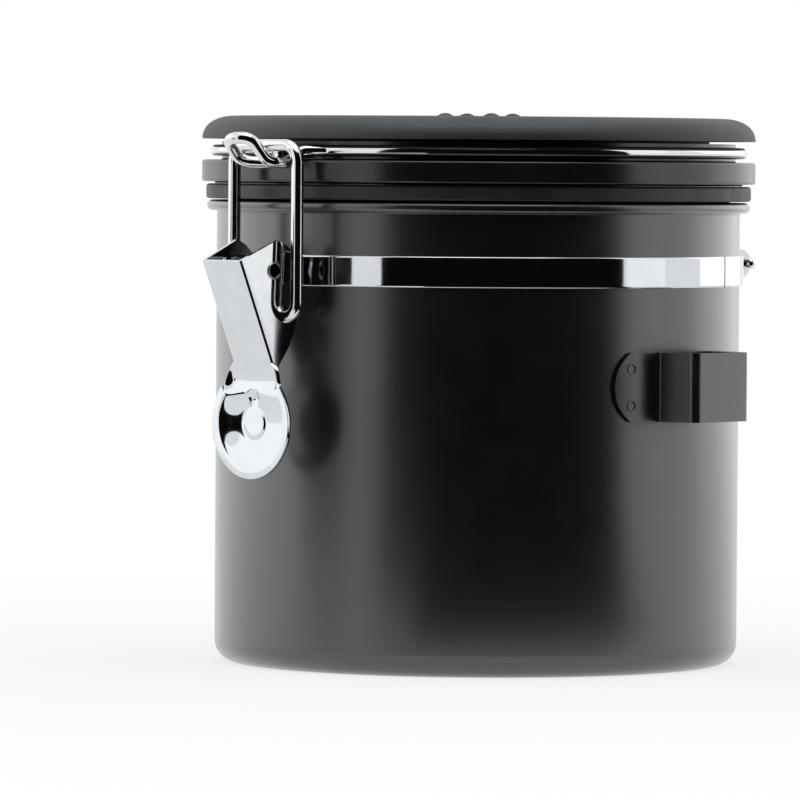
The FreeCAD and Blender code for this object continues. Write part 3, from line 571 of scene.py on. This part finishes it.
def hookTurn(s):
    return Matrix.Rotation(math.radians(s["azimuth"] - 180), 4, "Z")


def makeHook(s):
    # middle line of the strip from one foot's end to the other, then thickened
    line = s["seat"] + s["sheet"] / 2
    half = s["half"] - s["sheet"] / 2
    face = s["face"] - s["sheet"] / 2
    footRadius = (s["height"] ** 2 / 4 + s["footSag"] ** 2) / (2 * s["footSag"])
    endCentre = s["footHalf"] - footRadius
    riserFoot = math.sqrt(line ** 2 - half ** 2)
    arcStart = half + s["bend"]
    foot = []
    for i in range(s["footSteps"] + 1):
        x = s["footHalf"] + (arcStart - s["footHalf"]) * i / s["footSteps"]
        foot.append(Vector((x, math.sqrt(line ** 2 - x ** 2), 0)))
    corners = [foot[-1], (half, riserFoot, 0), (half, face, 0), (0, face, 0)]
    bent = bentPath(corners, [s["bend"]] * 2, s["bendStep"])
    right = foot + bent[1:]
    path = right + [Vector((-p.x, p.y, 0)) for p in reversed(right[:-1])]
    middle = s["low"] + s["height"] / 2
    rows = s["rows"]
    verts = []
    for p in path:
        past = max(abs(p.x) - endCentre, 0)
        tall = min(s["height"] / 2, math.sqrt(max(footRadius ** 2 - past ** 2, s["tipHalf"] ** 2)))
        verts += [(p.x, p.y, middle + tall * (2 * i / rows - 1)) for i in range(rows + 1)]
    faces = []
    for k in range(len(path) - 1):
        for i in range(rows):
            a = k * (rows + 1) + i
            b = a + rows + 1
            faces.append((a, b, b + 1, a + 1))
    hook = linkMesh("hookStrip", meshFrom("hookStrip", verts, faces))
    addModifier(hook, "SOLIDIFY", thickness=s["sheet"] * mm, offset=0, use_even_offset=True)
    addModifier(hook, "BEVEL", width=s["edge"] * mm, segments=3, limit_method="ANGLE",
                angle_limit=math.radians(bevelAngle))
    bakeModifiers(hook)
    hook.data.transform(hookTurn(s))
    return hook


def makeWelds(s):
    # pressed rings where the feet are spot welded; sections are shares of the ring and of its lip
    foot = s["seat"] + s["sheet"]
    sections = [(0.0, 0.15), (0.7, 0.1), (0.95, 0.5), (1.0, 1.0), (1.12, 1.0), (1.3, 0.0)]
    outline = [Vector((out * s["weldRing"], up * s["weldLip"])) for out, up in sections]
    outline += [Vector((outline[-1].x, -s["weldSunk"])), Vector((0, -s["weldSunk"]))]
    unit = lathe("weldUnit", outline, segments=40, angle=roundAngle)
    unit.data.transform(Matrix.Rotation(-math.pi / 2, 4, "X"))
    row = {"count": s["weldCount"], "spacing": s["weldSpacing"]}
    pair = rowOfUnits("hookWelds", unit, row, paint)
    lower = s["low"] + (s["height"] - s["weldSpacing"]) / 2
    form = bmesh.new()
    for side in (1, -1):
        turn = math.asin(s["weldAt"] / foot) * side
        spot = Vector((foot * math.sin(turn), foot * math.cos(turn), lower)) * mm
        copy = pair.data.copy()
        copy.transform(hookTurn(s) @ Matrix.Translation(spot) @ Matrix.Rotation(-turn, 4, "Z"))
        form.from_mesh(copy)
    form.to_mesh(pair.data)
    form.free()
    smoothMesh(pair.data, roundAngle)
    return pair


dress(makeHook(hookSizes), "can", "black_steel", paint, "scoop_hook")
dress(makeWelds(hookSizes), "can", "black_steel", paint)
print("can, band, brackets and hook made")


# The lid

lidSizes = {
    "radius": 63.5, "plug": 57.0, "skirt": 54.0, "skirtWall": 2.0, "bore": 55.0, "shelf": 60.5, "groove": 58.9,
    "skirtLow": 102.8, "floorLow": 104.1, "floorTop": 106.1, "gasketTop": 108.75, "flangeLow": 110.0,
    "flangeTop": 115.0, "capLow": 119.2, "flangeRound": 0.6, "stemHole": 1.6,
    "skirtRound": 0.4, "plugRound": 0.5, "shelfRound": 0.3, "grooveRound": 0.4, "boreRound": 0.8,
    "ventCount": 6, "ventRing": 5.5, "ventRadius": 1.0, "ventLow": 100.0, "ventTop": 110.0,
}


def makeLidBase(s):
    inside = s["skirt"] - s["skirtWall"]
    outline = roundedOutline([
        (s["stemHole"], s["floorLow"]), (inside, s["floorLow"], s["skirtRound"]),
        (inside, s["skirtLow"], s["skirtRound"]), (s["skirt"], s["skirtLow"], s["plugRound"]),
        (s["plug"], s["floorTop"], s["plugRound"]), (s["plug"], s["gasketTop"]),
        (s["shelf"], s["gasketTop"]), (s["shelf"], s["flangeLow"], s["shelfRound"]),
        (s["radius"], s["flangeLow"], s["flangeRound"]), (s["radius"], s["flangeTop"], s["flangeRound"]),
        (s["groove"], s["flangeTop"], s["grooveRound"]), (s["groove"], s["capLow"]), (s["bore"], s["capLow"]),
        (s["bore"], s["floorTop"], s["boreRound"]), (s["stemHole"], s["floorTop"]),
    ], steps=6)
    return lathe("lidMoulding", outline, fineTurn)


def cutVents(base, s):
    # vent holes under the flap, cut with a ring of round cutters
    corners = [(0, s["ventLow"]), (s["ventRadius"], s["ventLow"]), (s["ventRadius"], s["ventTop"]), (0, s["ventTop"])]
    unit = lathe("ventUnit", [Vector(corner) for corner in corners], segments=24)
    ring = {"count": s["ventCount"], "radius": s["ventRing"], "startAngle": 0, "level": 0}
    cutter = ringOfUnits("ventCutter", unit, ring, gloss)
    addModifier(base, "BOOLEAN", object=cutter, operation="DIFFERENCE", solver="EXACT")
    bakeModifiers(base)
    bpy.data.objects.remove(cutter)
    return base


dress(cutVents(makeLidBase(lidSizes), lidSizes), "lid", "black_gloss", gloss, "lid_base")

capSizes = {
    "radius": 63.5, "low": 119.2, "top": 125.0, "lip": 0.6, "edgeRound": 4.6, "crown": 9.0,
    "spigotIn": 52.9, "spigotOut": 54.9, "spigotLow": 116.4, "roof": 122.8, "bossRadius": 22.0, "bossLow": 120.6,
    "bore": 3.06, "recess": 16.3, "recessRim": 20.3, "bossRound": 0.6, "roofRound": 0.8, "spigotRound": 0.4,
    "lipRound": 0.25, "rimRound": 0.35, "recessRound": 0.3,
}


def makeCap(s):
    # the top runs down over a wide crown and a tighter edge, which meet in one tangent
    edgeLevel = s["low"] + s["lip"]
    rise = s["top"] - edgeLevel
    step = math.sqrt((rise - s["edgeRound"]) * (2 * s["crown"] - s["edgeRound"] - rise))
    edgeCentre = (s["radius"] - s["edgeRound"], edgeLevel)
    crownCentre = (edgeCentre[0] - step, s["top"] - s["crown"])
    meet = math.degrees(math.atan2(edgeCentre[1] - crownCentre[1], step))
    outline = roundedOutline([
        (s["bore"], s["bossLow"]), (s["bossRadius"], s["bossLow"], s["bossRound"]),
        (s["bossRadius"], s["roof"], s["roofRound"]), (s["spigotIn"], s["roof"], s["roofRound"]),
        (s["spigotIn"], s["spigotLow"], s["spigotRound"]), (s["spigotOut"], s["spigotLow"], s["spigotRound"]),
        (s["spigotOut"], s["low"]), (s["radius"] - s["lip"], s["low"], s["lipRound"]),
    ], steps=5)
    outline += arcPoints(edgeCentre, s["edgeRound"], 0, meet, steps=12)
    outline += arcPoints(crownCentre, s["crown"], meet, 90, steps=14)[1:]
    outline += roundedOutline([
        (s["bore"], s["top"]), (s["recessRim"], s["top"]), (s["recess"], s["top"], s["rimRound"]),
        (s["recess"], s["roof"], s["recessRound"]), (s["bore"], s["roof"]),
    ], steps=5)[1:]
    return lathe("lidCap", outline, fineTurn)


dress(makeCap(capSizes), "lid", "black_matte", matte, "lid_cap")

gasketSizes = {
    "bore": 57.05, "edge": 62.5, "low": 106.1, "top": 108.7, "lipIn": 60.7, "lipTop": 109.5, "round": 0.7,
    "lipRound": 0.2,
}


def makeGasket(s):
    outline = roundedOutline([
        (s["bore"], s["low"]), (s["edge"], s["low"], s["round"]), (s["edge"], s["lipTop"], s["round"]),
        (s["lipIn"], s["lipTop"], s["lipRound"]), (s["lipIn"], s["top"]), (s["bore"], s["top"]),
    ], steps=6)
    return lathe("lidSeal", outline, fineTurn)


dress(makeGasket(gasketSizes), "lid", "black_rubber", rubber, "lid_gasket")

dialSizes = {
    "hub": 3.0, "barb": 3.7, "barbLow": 118.9, "barbTop": 120.3, "barbTip": 2.3, "tipRound": 0.3, "barbRound": 0.2,
    "low": 123.1, "top": 124.9, "radius": 16.0, "edge": 0.4, "underRound": 0.2,
    "nubRing": 8.2, "nubRadius": 2.3, "nubRise": 1.1, "nubCount": 4, "nubStart": 65.0, "nubRoot": 0.4,
}


def makeDial(s):
    outline = roundedOutline([
        (0, s["barbLow"]), (s["barbTip"], s["barbLow"], s["tipRound"]), (s["barb"], s["barbTop"], s["barbRound"]),
        (s["hub"], s["barbTop"]), (s["hub"], s["low"]), (s["radius"], s["low"], s["underRound"]),
        (s["radius"], s["top"], s["edge"]), (0, s["top"]),
    ], steps=5)
    return lathe("dateDial", outline, segments=192)


def makeNubs(s):
    # each grip is the cap of a ball, with a short root in the disc
    ball = (s["nubRadius"] ** 2 + s["nubRise"] ** 2) / (2 * s["nubRise"])
    edge = math.degrees(math.asin(s["nubRadius"] / ball))
    outline = [Vector((0, -s["nubRoot"])), Vector((s["nubRadius"], -s["nubRoot"]))]
    outline += arcPoints((0, s["nubRise"] - ball), ball, 90 - edge, 90, steps=12)
    unit = lathe("nubUnit", outline, segments=56)
    ring = {"count": s["nubCount"], "radius": s["nubRing"], "startAngle": s["nubStart"], "level": s["top"]}
    return ringOfUnits("dialNubs", unit, ring, matte)


dress(makeDial(dialSizes), "dial", "black_matte", matte, "date_dial")
dress(makeNubs(dialSizes), "dial", "black_matte", matte)
print("lid, seal and dial made")


# The wires

lidWireSizes = {
    "radius": 1.3, "ring": 60.5, "ringSteps": 120, "level": 117.1, "hingeReach": 66.0, "hingeLevel": 91.5,
    "legHalf": 16.2, "tip": 24.0, "legBend": 3.4, "rearTurn": 22.0, "frontTurn": 13.0,
    "edge": 63.5, "low": 114.2, "climb": 5.6, "reach": 13.8, "knee": 7.5, "kneeClimb": 1 / 15, "half": 4.4,
    "tipHalf": 3.6, "tipShare": 0.85, "farClimb": 0.85, "rootHalf": 1.7, "rootShift": 4.0, "rootGap": 2.8,
    "shoulder": 62.7, "bend": 3.0, "bendShares": (2, 1, 1, 1.3, 1, 1, 1, 1.2, 0.8, 1, 2),
}


def makeLidWire(s):
    ring = s["ring"]
    level = s["level"]

    def onRing(side, turn, front):
        way = -1 if front else 1
        turn = math.radians(turn)
        spot = Vector((side * ring * math.sin(turn), way * ring * math.cos(turn), level))
        return spot, Vector((-side * math.cos(turn), way * math.sin(turn), 0))

    def rear(side):
        leave, heading = onRing(side, s["rearTurn"], False)
        corner = leave + heading * ((abs(leave.x) - s["legHalf"]) / math.cos(math.radians(s["rearTurn"])))
        leg = side * s["legHalf"]
        points = [(side * s["tip"], s["hingeReach"], s["hingeLevel"]), (leg, s["hingeReach"], s["hingeLevel"]),
                  (leg, s["hingeReach"], level), corner, leave]
        return bentPath(points, [s["legBend"]] * 3)

    def ringSide(side):
        first = 90 - s["rearTurn"]
        last = -90 + s["frontTurn"]
        arc = arcPoints((0, 0), ring, first, last, s["ringSteps"])
        return [Vector((side * p.x, p.y, level)) for p in arc]

    near, nearHeading = onRing(1, s["frontTurn"], True)
    far, farHeading = onRing(-1, s["frontTurn"], True)
    low, rise, bend = s["low"], s["climb"], s["bend"]
    rootLeft, rootRight = s["rootShift"] - s["rootHalf"], s["rootShift"] + s["rootHalf"]
    rootOut = s["edge"] + s["rootGap"]
    kneeOut, kneeLevel = s["edge"] + s["knee"], low + rise * s["kneeClimb"]
    tipOut = s["edge"] + s["reach"] * s["tipShare"]
    loop = [
        near, near + nearHeading * bend / 2,
        (rootRight + bend / 2, -s["shoulder"], level),
        (rootRight, -rootOut, low),
        (s["half"], -kneeOut, kneeLevel),
        (s["tipHalf"], -tipOut, low + rise),
        (0, -(s["edge"] + s["reach"]), low + rise),
        (-s["tipHalf"], -tipOut, low + rise * s["farClimb"]),
        (-s["half"], -kneeOut, kneeLevel),
        (rootLeft, -rootOut, low),
        (rootLeft - bend, -s["shoulder"], level),
        far + farHeading * bend / 2, far,
    ]
    bends = [share * bend for share in s["bendShares"]]
    path = rear(1) + ringSide(1)[1:] + bentPath(loop, bends)[1:]
    path += list(reversed(ringSide(-1)))[1:] + list(reversed(rear(-1)))[1:]
    return tube("lidWire", path, s["radius"])


dress(makeLidWire(lidWireSizes), "lid", "chrome", wirePlate, "lid_wire")

bailSizes = {
    "radius": 1.4, "reach": 67.15, "half": 10.2, "low": 80.0, "top": 118.2, "end": 4.5, "bend": 4.0, "footBend": 3.4,
}


def makeBail(s):
    out = -s["reach"]
    points = [(s["end"], out, s["low"]), (s["half"], out, s["low"]), (s["half"], out, s["top"]),
              (-s["half"], out, s["top"]), (-s["half"], out, s["low"]), (-s["end"], out, s["low"])]
    bends = [s["footBend"], s["bend"], s["bend"], s["footBend"]]
    return tube("bailWire", bentPath(points, bends), s["radius"])


dress(makeBail(bailSizes), "bail", "chrome", wirePlate, "bail_wire")
print("wires made")


# The lever: a folded channel, drawn in rows along the web, and a round thumb tab, joined to one stamping

leverSizes = {
    "sheet": 0.8, "edge": 0.15, "half": 6.3, "fold": 0.8, "foldShare": 0.8, "splay": 3.5,
    "topReach": 81.0, "topLevel": 92.5, "lowReach": 70.1, "lowLevel": 67.3, "overrun": 0.15,
    # (run up the web, depth of the cheeks there)
    "depths": [(0.0, 0.9), (1.5, 2.4), (3.5, 5.6), (5.5, 8.0), (10.6, 12.0), (16.0, 14.4), (21.88, 15.5),
               (25.0, 14.0), (27.5, 11.9)],
    "rows": 90, "cheekColumns": 10, "foldColumns": 6, "webColumns": 40,
    "tabLevel": 56.1, "tabRadius": 12.4, "tabSteps": 176, "tabRings": 48,
    "disc": 3.6, "discSoft": 0.6, "discRise": 0.12, "rimIn": 11.0, "rimRise": 1.5,
    "dimpleRadius": 1.9, "dimpleDepth": 0.7, "dimpleLevel": 62.0,
    "neckTurn": 0.42, "neckHalf": 5.7, "neckBlend": 2.6, "neckFrom": 6.0, "neckRun": 3.5, "neckSide": 3.0,
    "neckSunk": 0.05,
    "pinReach": 70.75, "pinLevel": 90.3, "pinHole": 2.06, "bailReach": 67.15, "bailLevel": 80.0, "bailHole": 1.46,
    "cutHalf": 9.0,
}


def eased(share):
    share = max(0.0, min(1.0, share))
    return share * share * (3 - 2 * share)


def tabFace(s, x, z):
    # how far from the can's axis the tab's outer face stands
    up = z - s["tabLevel"]
    r = math.hypot(x, up)
    neck = eased((up - s["neckFrom"]) / s["neckRun"]) * (1 - eased((abs(x) - s["half"]) / s["neckSide"]))
    disc = s["discRise"] * eased((s["disc"] - r) / s["discSoft"])
    rim = s["rimRise"] * eased((r - s["disc"]) / (s["rimIn"] - s["disc"]))
    # above the tab the sheet bends smoothly into the sloping web and ends just under its face
    slope = (s["topReach"] - s["lowReach"]) / (s["topLevel"] - s["lowLevel"])
    past = z - s["lowLevel"] - s["neckBlend"]
    bend = slope * max(0.0, past + 2 * s["neckBlend"]) ** 2 / (4 * s["neckBlend"])
    out = disc + rim * (1 - neck) + bend - s["neckSunk"] * eased(past + 1)
    dimple = math.hypot(x, z - s["dimpleLevel"]) / s["dimpleRadius"]
    if dimple < 1:
        out -= s["dimpleDepth"] * (1 - dimple ** 2)
    return s["lowReach"] + out


def makeLever(s):
    down = Vector((s["lowReach"] - s["topReach"], s["lowLevel"] - s["topLevel"]))
    length = down.length
    along = -down / length
    inward = Vector((-along.y, along.x))

    def depthAt(run):
        for (a, da), (b, db) in zip(s["depths"], s["depths"][1:]):
            if run <= b + 1e-6:
                return da + (db - da) * (run - a) / (b - a)
        return s["depths"][-1][1]

    def crossRow(depth):
        # (x, depth into the channel) from one cheek's back edge to the other
        fold = min(s["fold"], depth * s["foldShare"])
        lean = math.tan(math.radians(s["splay"]))
        depths = [depth + (fold - depth) * i / s["cheekColumns"] for i in range(s["cheekColumns"])]
        side = [(s["half"] + lean * (d - fold), d) for d in depths]
        for i in range(s["foldColumns"]):
            turn = math.pi / 2 * i / s["foldColumns"]
            side.append((s["half"] - fold + fold * math.cos(turn), fold - fold * math.sin(turn)))
        flat = s["half"] - fold
        web = [(flat - 2 * flat * i / s["webColumns"], 0.0) for i in range(s["webColumns"] + 1)]
        return side + web + [(-x, d) for x, d in reversed(side)]

    def channelRow(run):
        base = Vector((s["lowReach"], s["lowLevel"])) + along * run
        return [Vector((x, *(base + inward * d))) for x, d in crossRow(depthAt(max(run, 0)))]

    def tabRing(share):
        # one closed ring of the round tab, drawn out at the top into the neck
        ring = []
        neck = s["lowLevel"] + s["neckBlend"] - s["tabLevel"]
        corner = math.atan2(s["neckHalf"], neck)
        for i in range(s["tabSteps"]):
            turn = 2 * math.pi * i / s["tabSteps"]
            off = min(turn, 2 * math.pi - turn)
            if off <= corner:
                edge = neck / math.cos(off)
            else:
                over = math.hypot(s["neckHalf"], neck) - s["tabRadius"]
                edge = s["tabRadius"] + over * (1 - eased((off - corner) / s["neckTurn"]))
            x = edge * share * math.sin(turn)
            z = s["tabLevel"] + edge * share * math.cos(turn)
            ring.append(Vector((x, tabFace(s, x, z), z)))
        return ring

    def sheetFrom(label, rows, closed=False):
        # one face of the steel from its rows, thickened inwards, with softened edges
        columns = len(rows[0])
        verts = [(x, -u, z) for row in rows for x, u, z in row]
        faces = []
        for k in range(len(rows) - 1):
            for i in range(columns if closed else columns - 1):
                a = k * columns + i
                b = k * columns + (i + 1) % columns
                faces.append((a, b, b + columns, a + columns))
        sheet = linkMesh(label, meshFrom(label, verts, faces))
        outward = sum(f.normal.y * f.area for f in sheet.data.polygons) < 0
        addModifier(sheet, "SOLIDIFY", thickness=s["sheet"] * mm, offset=-1 if outward else 1)
        addModifier(sheet, "BEVEL", width=s["edge"] * mm, segments=2, limit_method="ANGLE",
                    angle_limit=math.radians(bevelAngle))
        return bakeModifiers(sheet)

    runs = [length * (1 - i / s["rows"]) - s["overrun"] for i in range(s["rows"] + 1)]
    lever = sheetFrom("latchLever", [channelRow(run) for run in runs])
    rings = [tabRing(i / s["tabRings"]) for i in range(s["tabRings"] + 1)]
    tab = sheetFrom("thumbTab", rings, closed=True)
    cutters = []
    for reach, level, radius in ((s["pinReach"], s["pinLevel"], s["pinHole"]),
                                 (s["bailReach"], s["bailLevel"], s["bailHole"])):
        corners = [(0, -s["cutHalf"]), (radius, -s["cutHalf"]), (radius, s["cutHalf"]), (0, s["cutHalf"])]
        cutter = lathe("leverHole", [Vector(corner) for corner in corners], segments=40)
        place = Matrix.Translation(Vector((0, -reach, level)) * mm)
        cutter.data.transform(place @ Matrix.Rotation(math.pi / 2, 4, "Y"))
        addModifier(lever, "BOOLEAN", object=cutter, operation="DIFFERENCE", solver="EXACT")
        cutters.append(cutter)
    addModifier(lever, "BOOLEAN", object=tab, operation="UNION", solver="EXACT")
    bakeModifiers(lever)
    for used in cutters + [tab]:
        bpy.data.objects.remove(used)
    return lever


dress(makeLever(leverSizes), "lever", "chrome", plate, "latch_lever")
print("lever made")

# the vent flap shows its own solid, in rubber
nodes["valve_flap"].data.materials.clear()
nodes["valve_flap"].data.materials.append(rubber)


# Floor, light and camera

studio = {
    "cameraAzimuth": 45.0, "cameraDistance": 1.70, "cameraHeight": 0.114, "aimLeft": 0.0177, "aimLevel": 0.060,
    "lens": 333.0, "sensor": 36.0, "clipEnd": 20.0, "roll": 0.4,
    "floorRadius": 3.0, "floorTone": 0.8, "floorRough": 0.9, "floorShare": 0.75, "floorNear": 0.12, "floorFar": 0.4,
    "worldFill": 0.75, "lampColour": (0.95, 0.98, 1.0), "lampAim": 0.07, "cardTone": 0.004, "cardSteps": 32,
}

# azimuths in degrees, lengths in metres; a card's rings are (share of its radius, level) from its foot up
cards = {
    "frontCard": {"first": 4, "last": 109, "radius": 1.3, "rings": [(0.16, 0.004), (1, 0.004), (1, 1.5)]},
    "footCard": {"first": 24, "last": 109, "radius": 0.21, "rings": [(0.5, 0.004), (1, 0.004)]},
    "sideCard": {"first": -31, "last": -9, "radius": 0.95, "rings": [(1, 0.045), (1, 0.1)]},
    "nearCard": {"first": -30, "last": -11, "radius": 0.36, "rings": [(1, 0.012), (1, 0.085)]},
}
lamps = {
    "leftBox": {"azimuth": -63, "distance": 1.1, "level": 0.45, "width": 1.9, "height": 1.1, "radiance": 0.32},
    "rightBox": {"azimuth": 121, "distance": 1.1, "level": 0.45, "width": 0.45, "height": 1.0, "radiance": 0.2},
    "rearBox": {"azimuth": 178, "distance": 1.3, "level": 0.45, "width": 1.2, "height": 1.0, "radiance": 0.5},
    "topBox": {"azimuth": 45, "distance": 0.2, "level": 1.5, "width": 1.2, "height": 1.2, "radiance": 1.6},
}


def heading(azimuth):
    # horizontal direction, counted from the latch towards the hook
    turn = math.radians(azimuth)
    return Vector((math.sin(turn), -math.cos(turn), 0))


def whiteForSight(tree, shader, share, fade=None):
    # the camera and mirrors see white, mixed with the lit surface
    sight = tree.nodes.new("ShaderNodeLightPath")
    either = tree.nodes.new("ShaderNodeMath")
    either.operation = "MAXIMUM"
    anyOf = tree.nodes.new("ShaderNodeMath")
    anyOf.operation = "MAXIMUM"
    amount = tree.nodes.new("ShaderNodeMath")
    amount.operation = "MULTIPLY"
    amount.inputs[1].default_value = share
    tree.links.new(sight.outputs["Is Camera Ray"], either.inputs[0])
    tree.links.new(sight.outputs["Is Glossy Ray"], either.inputs[1])
    tree.links.new(either.outputs[0], anyOf.inputs[0])
    tree.links.new(sight.outputs["Is Transmission Ray"], anyOf.inputs[1])
    tree.links.new(anyOf.outputs[0], amount.inputs[0])
    if fade:
        # the share grows to all white away from the piece, so that floor and backdrop meet unseen
        place = tree.nodes.new("ShaderNodeTexCoord")
        far = tree.nodes.new("ShaderNodeVectorMath")
        far.operation = "LENGTH"
        rise = tree.nodes.new("ShaderNodeMapRange")
        rise.inputs["From Min"].default_value, rise.inputs["From Max"].default_value = fade
        rise.inputs["To Min"].default_value = share
        rise.inputs["To Max"].default_value = 1.0
        tree.links.new(place.outputs["Object"], far.inputs[0])
        tree.links.new(far.outputs["Value"], rise.inputs["Value"])
        tree.links.new(rise.outputs["Result"], amount.inputs[1])
    white = tree.nodes.new("ShaderNodeEmission")
    white.inputs["Color"].default_value = (1, 1, 1, 1)
    white.inputs["Strength"].default_value = 1.0
    blend = tree.nodes.new("ShaderNodeMixShader")
    tree.links.new(amount.outputs[0], blend.inputs["Fac"])
    tree.links.new(shader, blend.inputs[1])
    tree.links.new(white.outputs[0], blend.inputs[2])
    return blend.outputs[0]


def makeFloor():
    form = bmesh.new()
    bmesh.ops.create_circle(form, cap_ends=True, radius=studio["floorRadius"], segments=96)
    mesh = bpy.data.meshes.new("paleFloor")
    form.to_mesh(mesh)
    form.free()
    floor = linkMesh("paleFloor", mesh)
    material, shader = newFinish("paleFloor", [studio["floorTone"]] * 3, 0, studio["floorRough"], 0.0)
    tree = material.node_tree
    output = tree.nodes["Material Output"]
    fade = (studio["floorNear"], studio["floorFar"])
    tree.links.new(whiteForSight(tree, shader.outputs[0], studio["floorShare"], fade), output.inputs["Surface"])
    mesh.materials.append(material)


def makeWorld():
    world = bpy.data.worlds.new("paleStudio")
    scene.world = world
    world.use_nodes = True
    tree = world.node_tree
    fill = tree.nodes["Background"]
    fill.inputs["Color"].default_value = (1, 1, 1, 1)
    fill.inputs["Strength"].default_value = studio["worldFill"]
    output = tree.nodes["World Output"]
    tree.links.new(whiteForSight(tree, fill.outputs[0], 1.0), output.inputs["Surface"])


def darkCard(name, s):
    # black studio card, so that gloss and chrome have something dark to show
    verts, faces = [], []
    steps = studio["cardSteps"]
    count = len(s["rings"])
    for i in range(steps + 1):
        way = heading(s["first"] + (s["last"] - s["first"]) * i / steps) * s["radius"]
        verts += [(way.x * share, way.y * share, level) for share, level in s["rings"]]
    for i in range(steps):
        for k in range(i * count, i * count + count - 1):
            faces.append((k, k + count, k + count + 1, k + 1))
    mesh = bpy.data.meshes.new(name)
    mesh.from_pydata(verts, [], faces)
    card = linkMesh(name, mesh)
    material = newFinish(name + "Black", [studio["cardTone"]] * 3, 0, 1.0, 0.0)[0]
    mesh.materials.append(material)
    card.visible_camera = False
    card.visible_shadow = False
    card.visible_diffuse = False


def softBox(name, s):
    # area lamp that looks at the piece; its power follows from its radiance and its size
    lamp = bpy.data.lights.new(name, "AREA")
    lamp.shape = "RECTANGLE"
    lamp.size = s["width"]
    lamp.size_y = s["height"]
    lamp.color = studio["lampColour"]
    lamp.energy = s["radiance"] * math.pi * s["width"] * s["height"]
    box = bpy.data.objects.new(name, lamp)
    scene.collection.objects.link(box)
    box.location = heading(s["azimuth"]) * s["distance"] + Vector((0, 0, s["level"]))
    aim = Vector((0, 0, studio["lampAim"]))
    box.rotation_euler = (aim - box.location).to_track_quat("-Z", "Y").to_euler()
    box.visible_camera = False


def makeCamera():
    lens = bpy.data.cameras.new("photoCamera")
    lens.lens = studio["lens"]
    lens.sensor_width = studio["sensor"]
    lens.clip_end = studio["clipEnd"]
    camera = bpy.data.objects.new("photoCamera", lens)
    scene.collection.objects.link(camera)
    way = heading(studio["cameraAzimuth"])
    right = Vector((-way.y, way.x, 0))
    camera.location = way * studio["cameraDistance"] + Vector((0, 0, studio["cameraHeight"]))
    aim = right * -studio["aimLeft"] + Vector((0, 0, studio["aimLevel"]))
    turn = (aim - camera.location).to_track_quat("-Z", "Y").to_matrix().to_4x4()
    roll = Matrix.Rotation(math.radians(studio["roll"]), 4, "Z")
    camera.rotation_euler = (turn @ roll).to_euler()
    scene.camera = camera


makeFloor()
makeWorld()
for name, card in cards.items():
    darkCard(name, card)
for name, lamp in lamps.items():
    softBox(name, lamp)
makeCamera()
scene.view_settings.view_transform = "Standard"
print("floor, light and camera set")

bpy.context.view_layer.update()
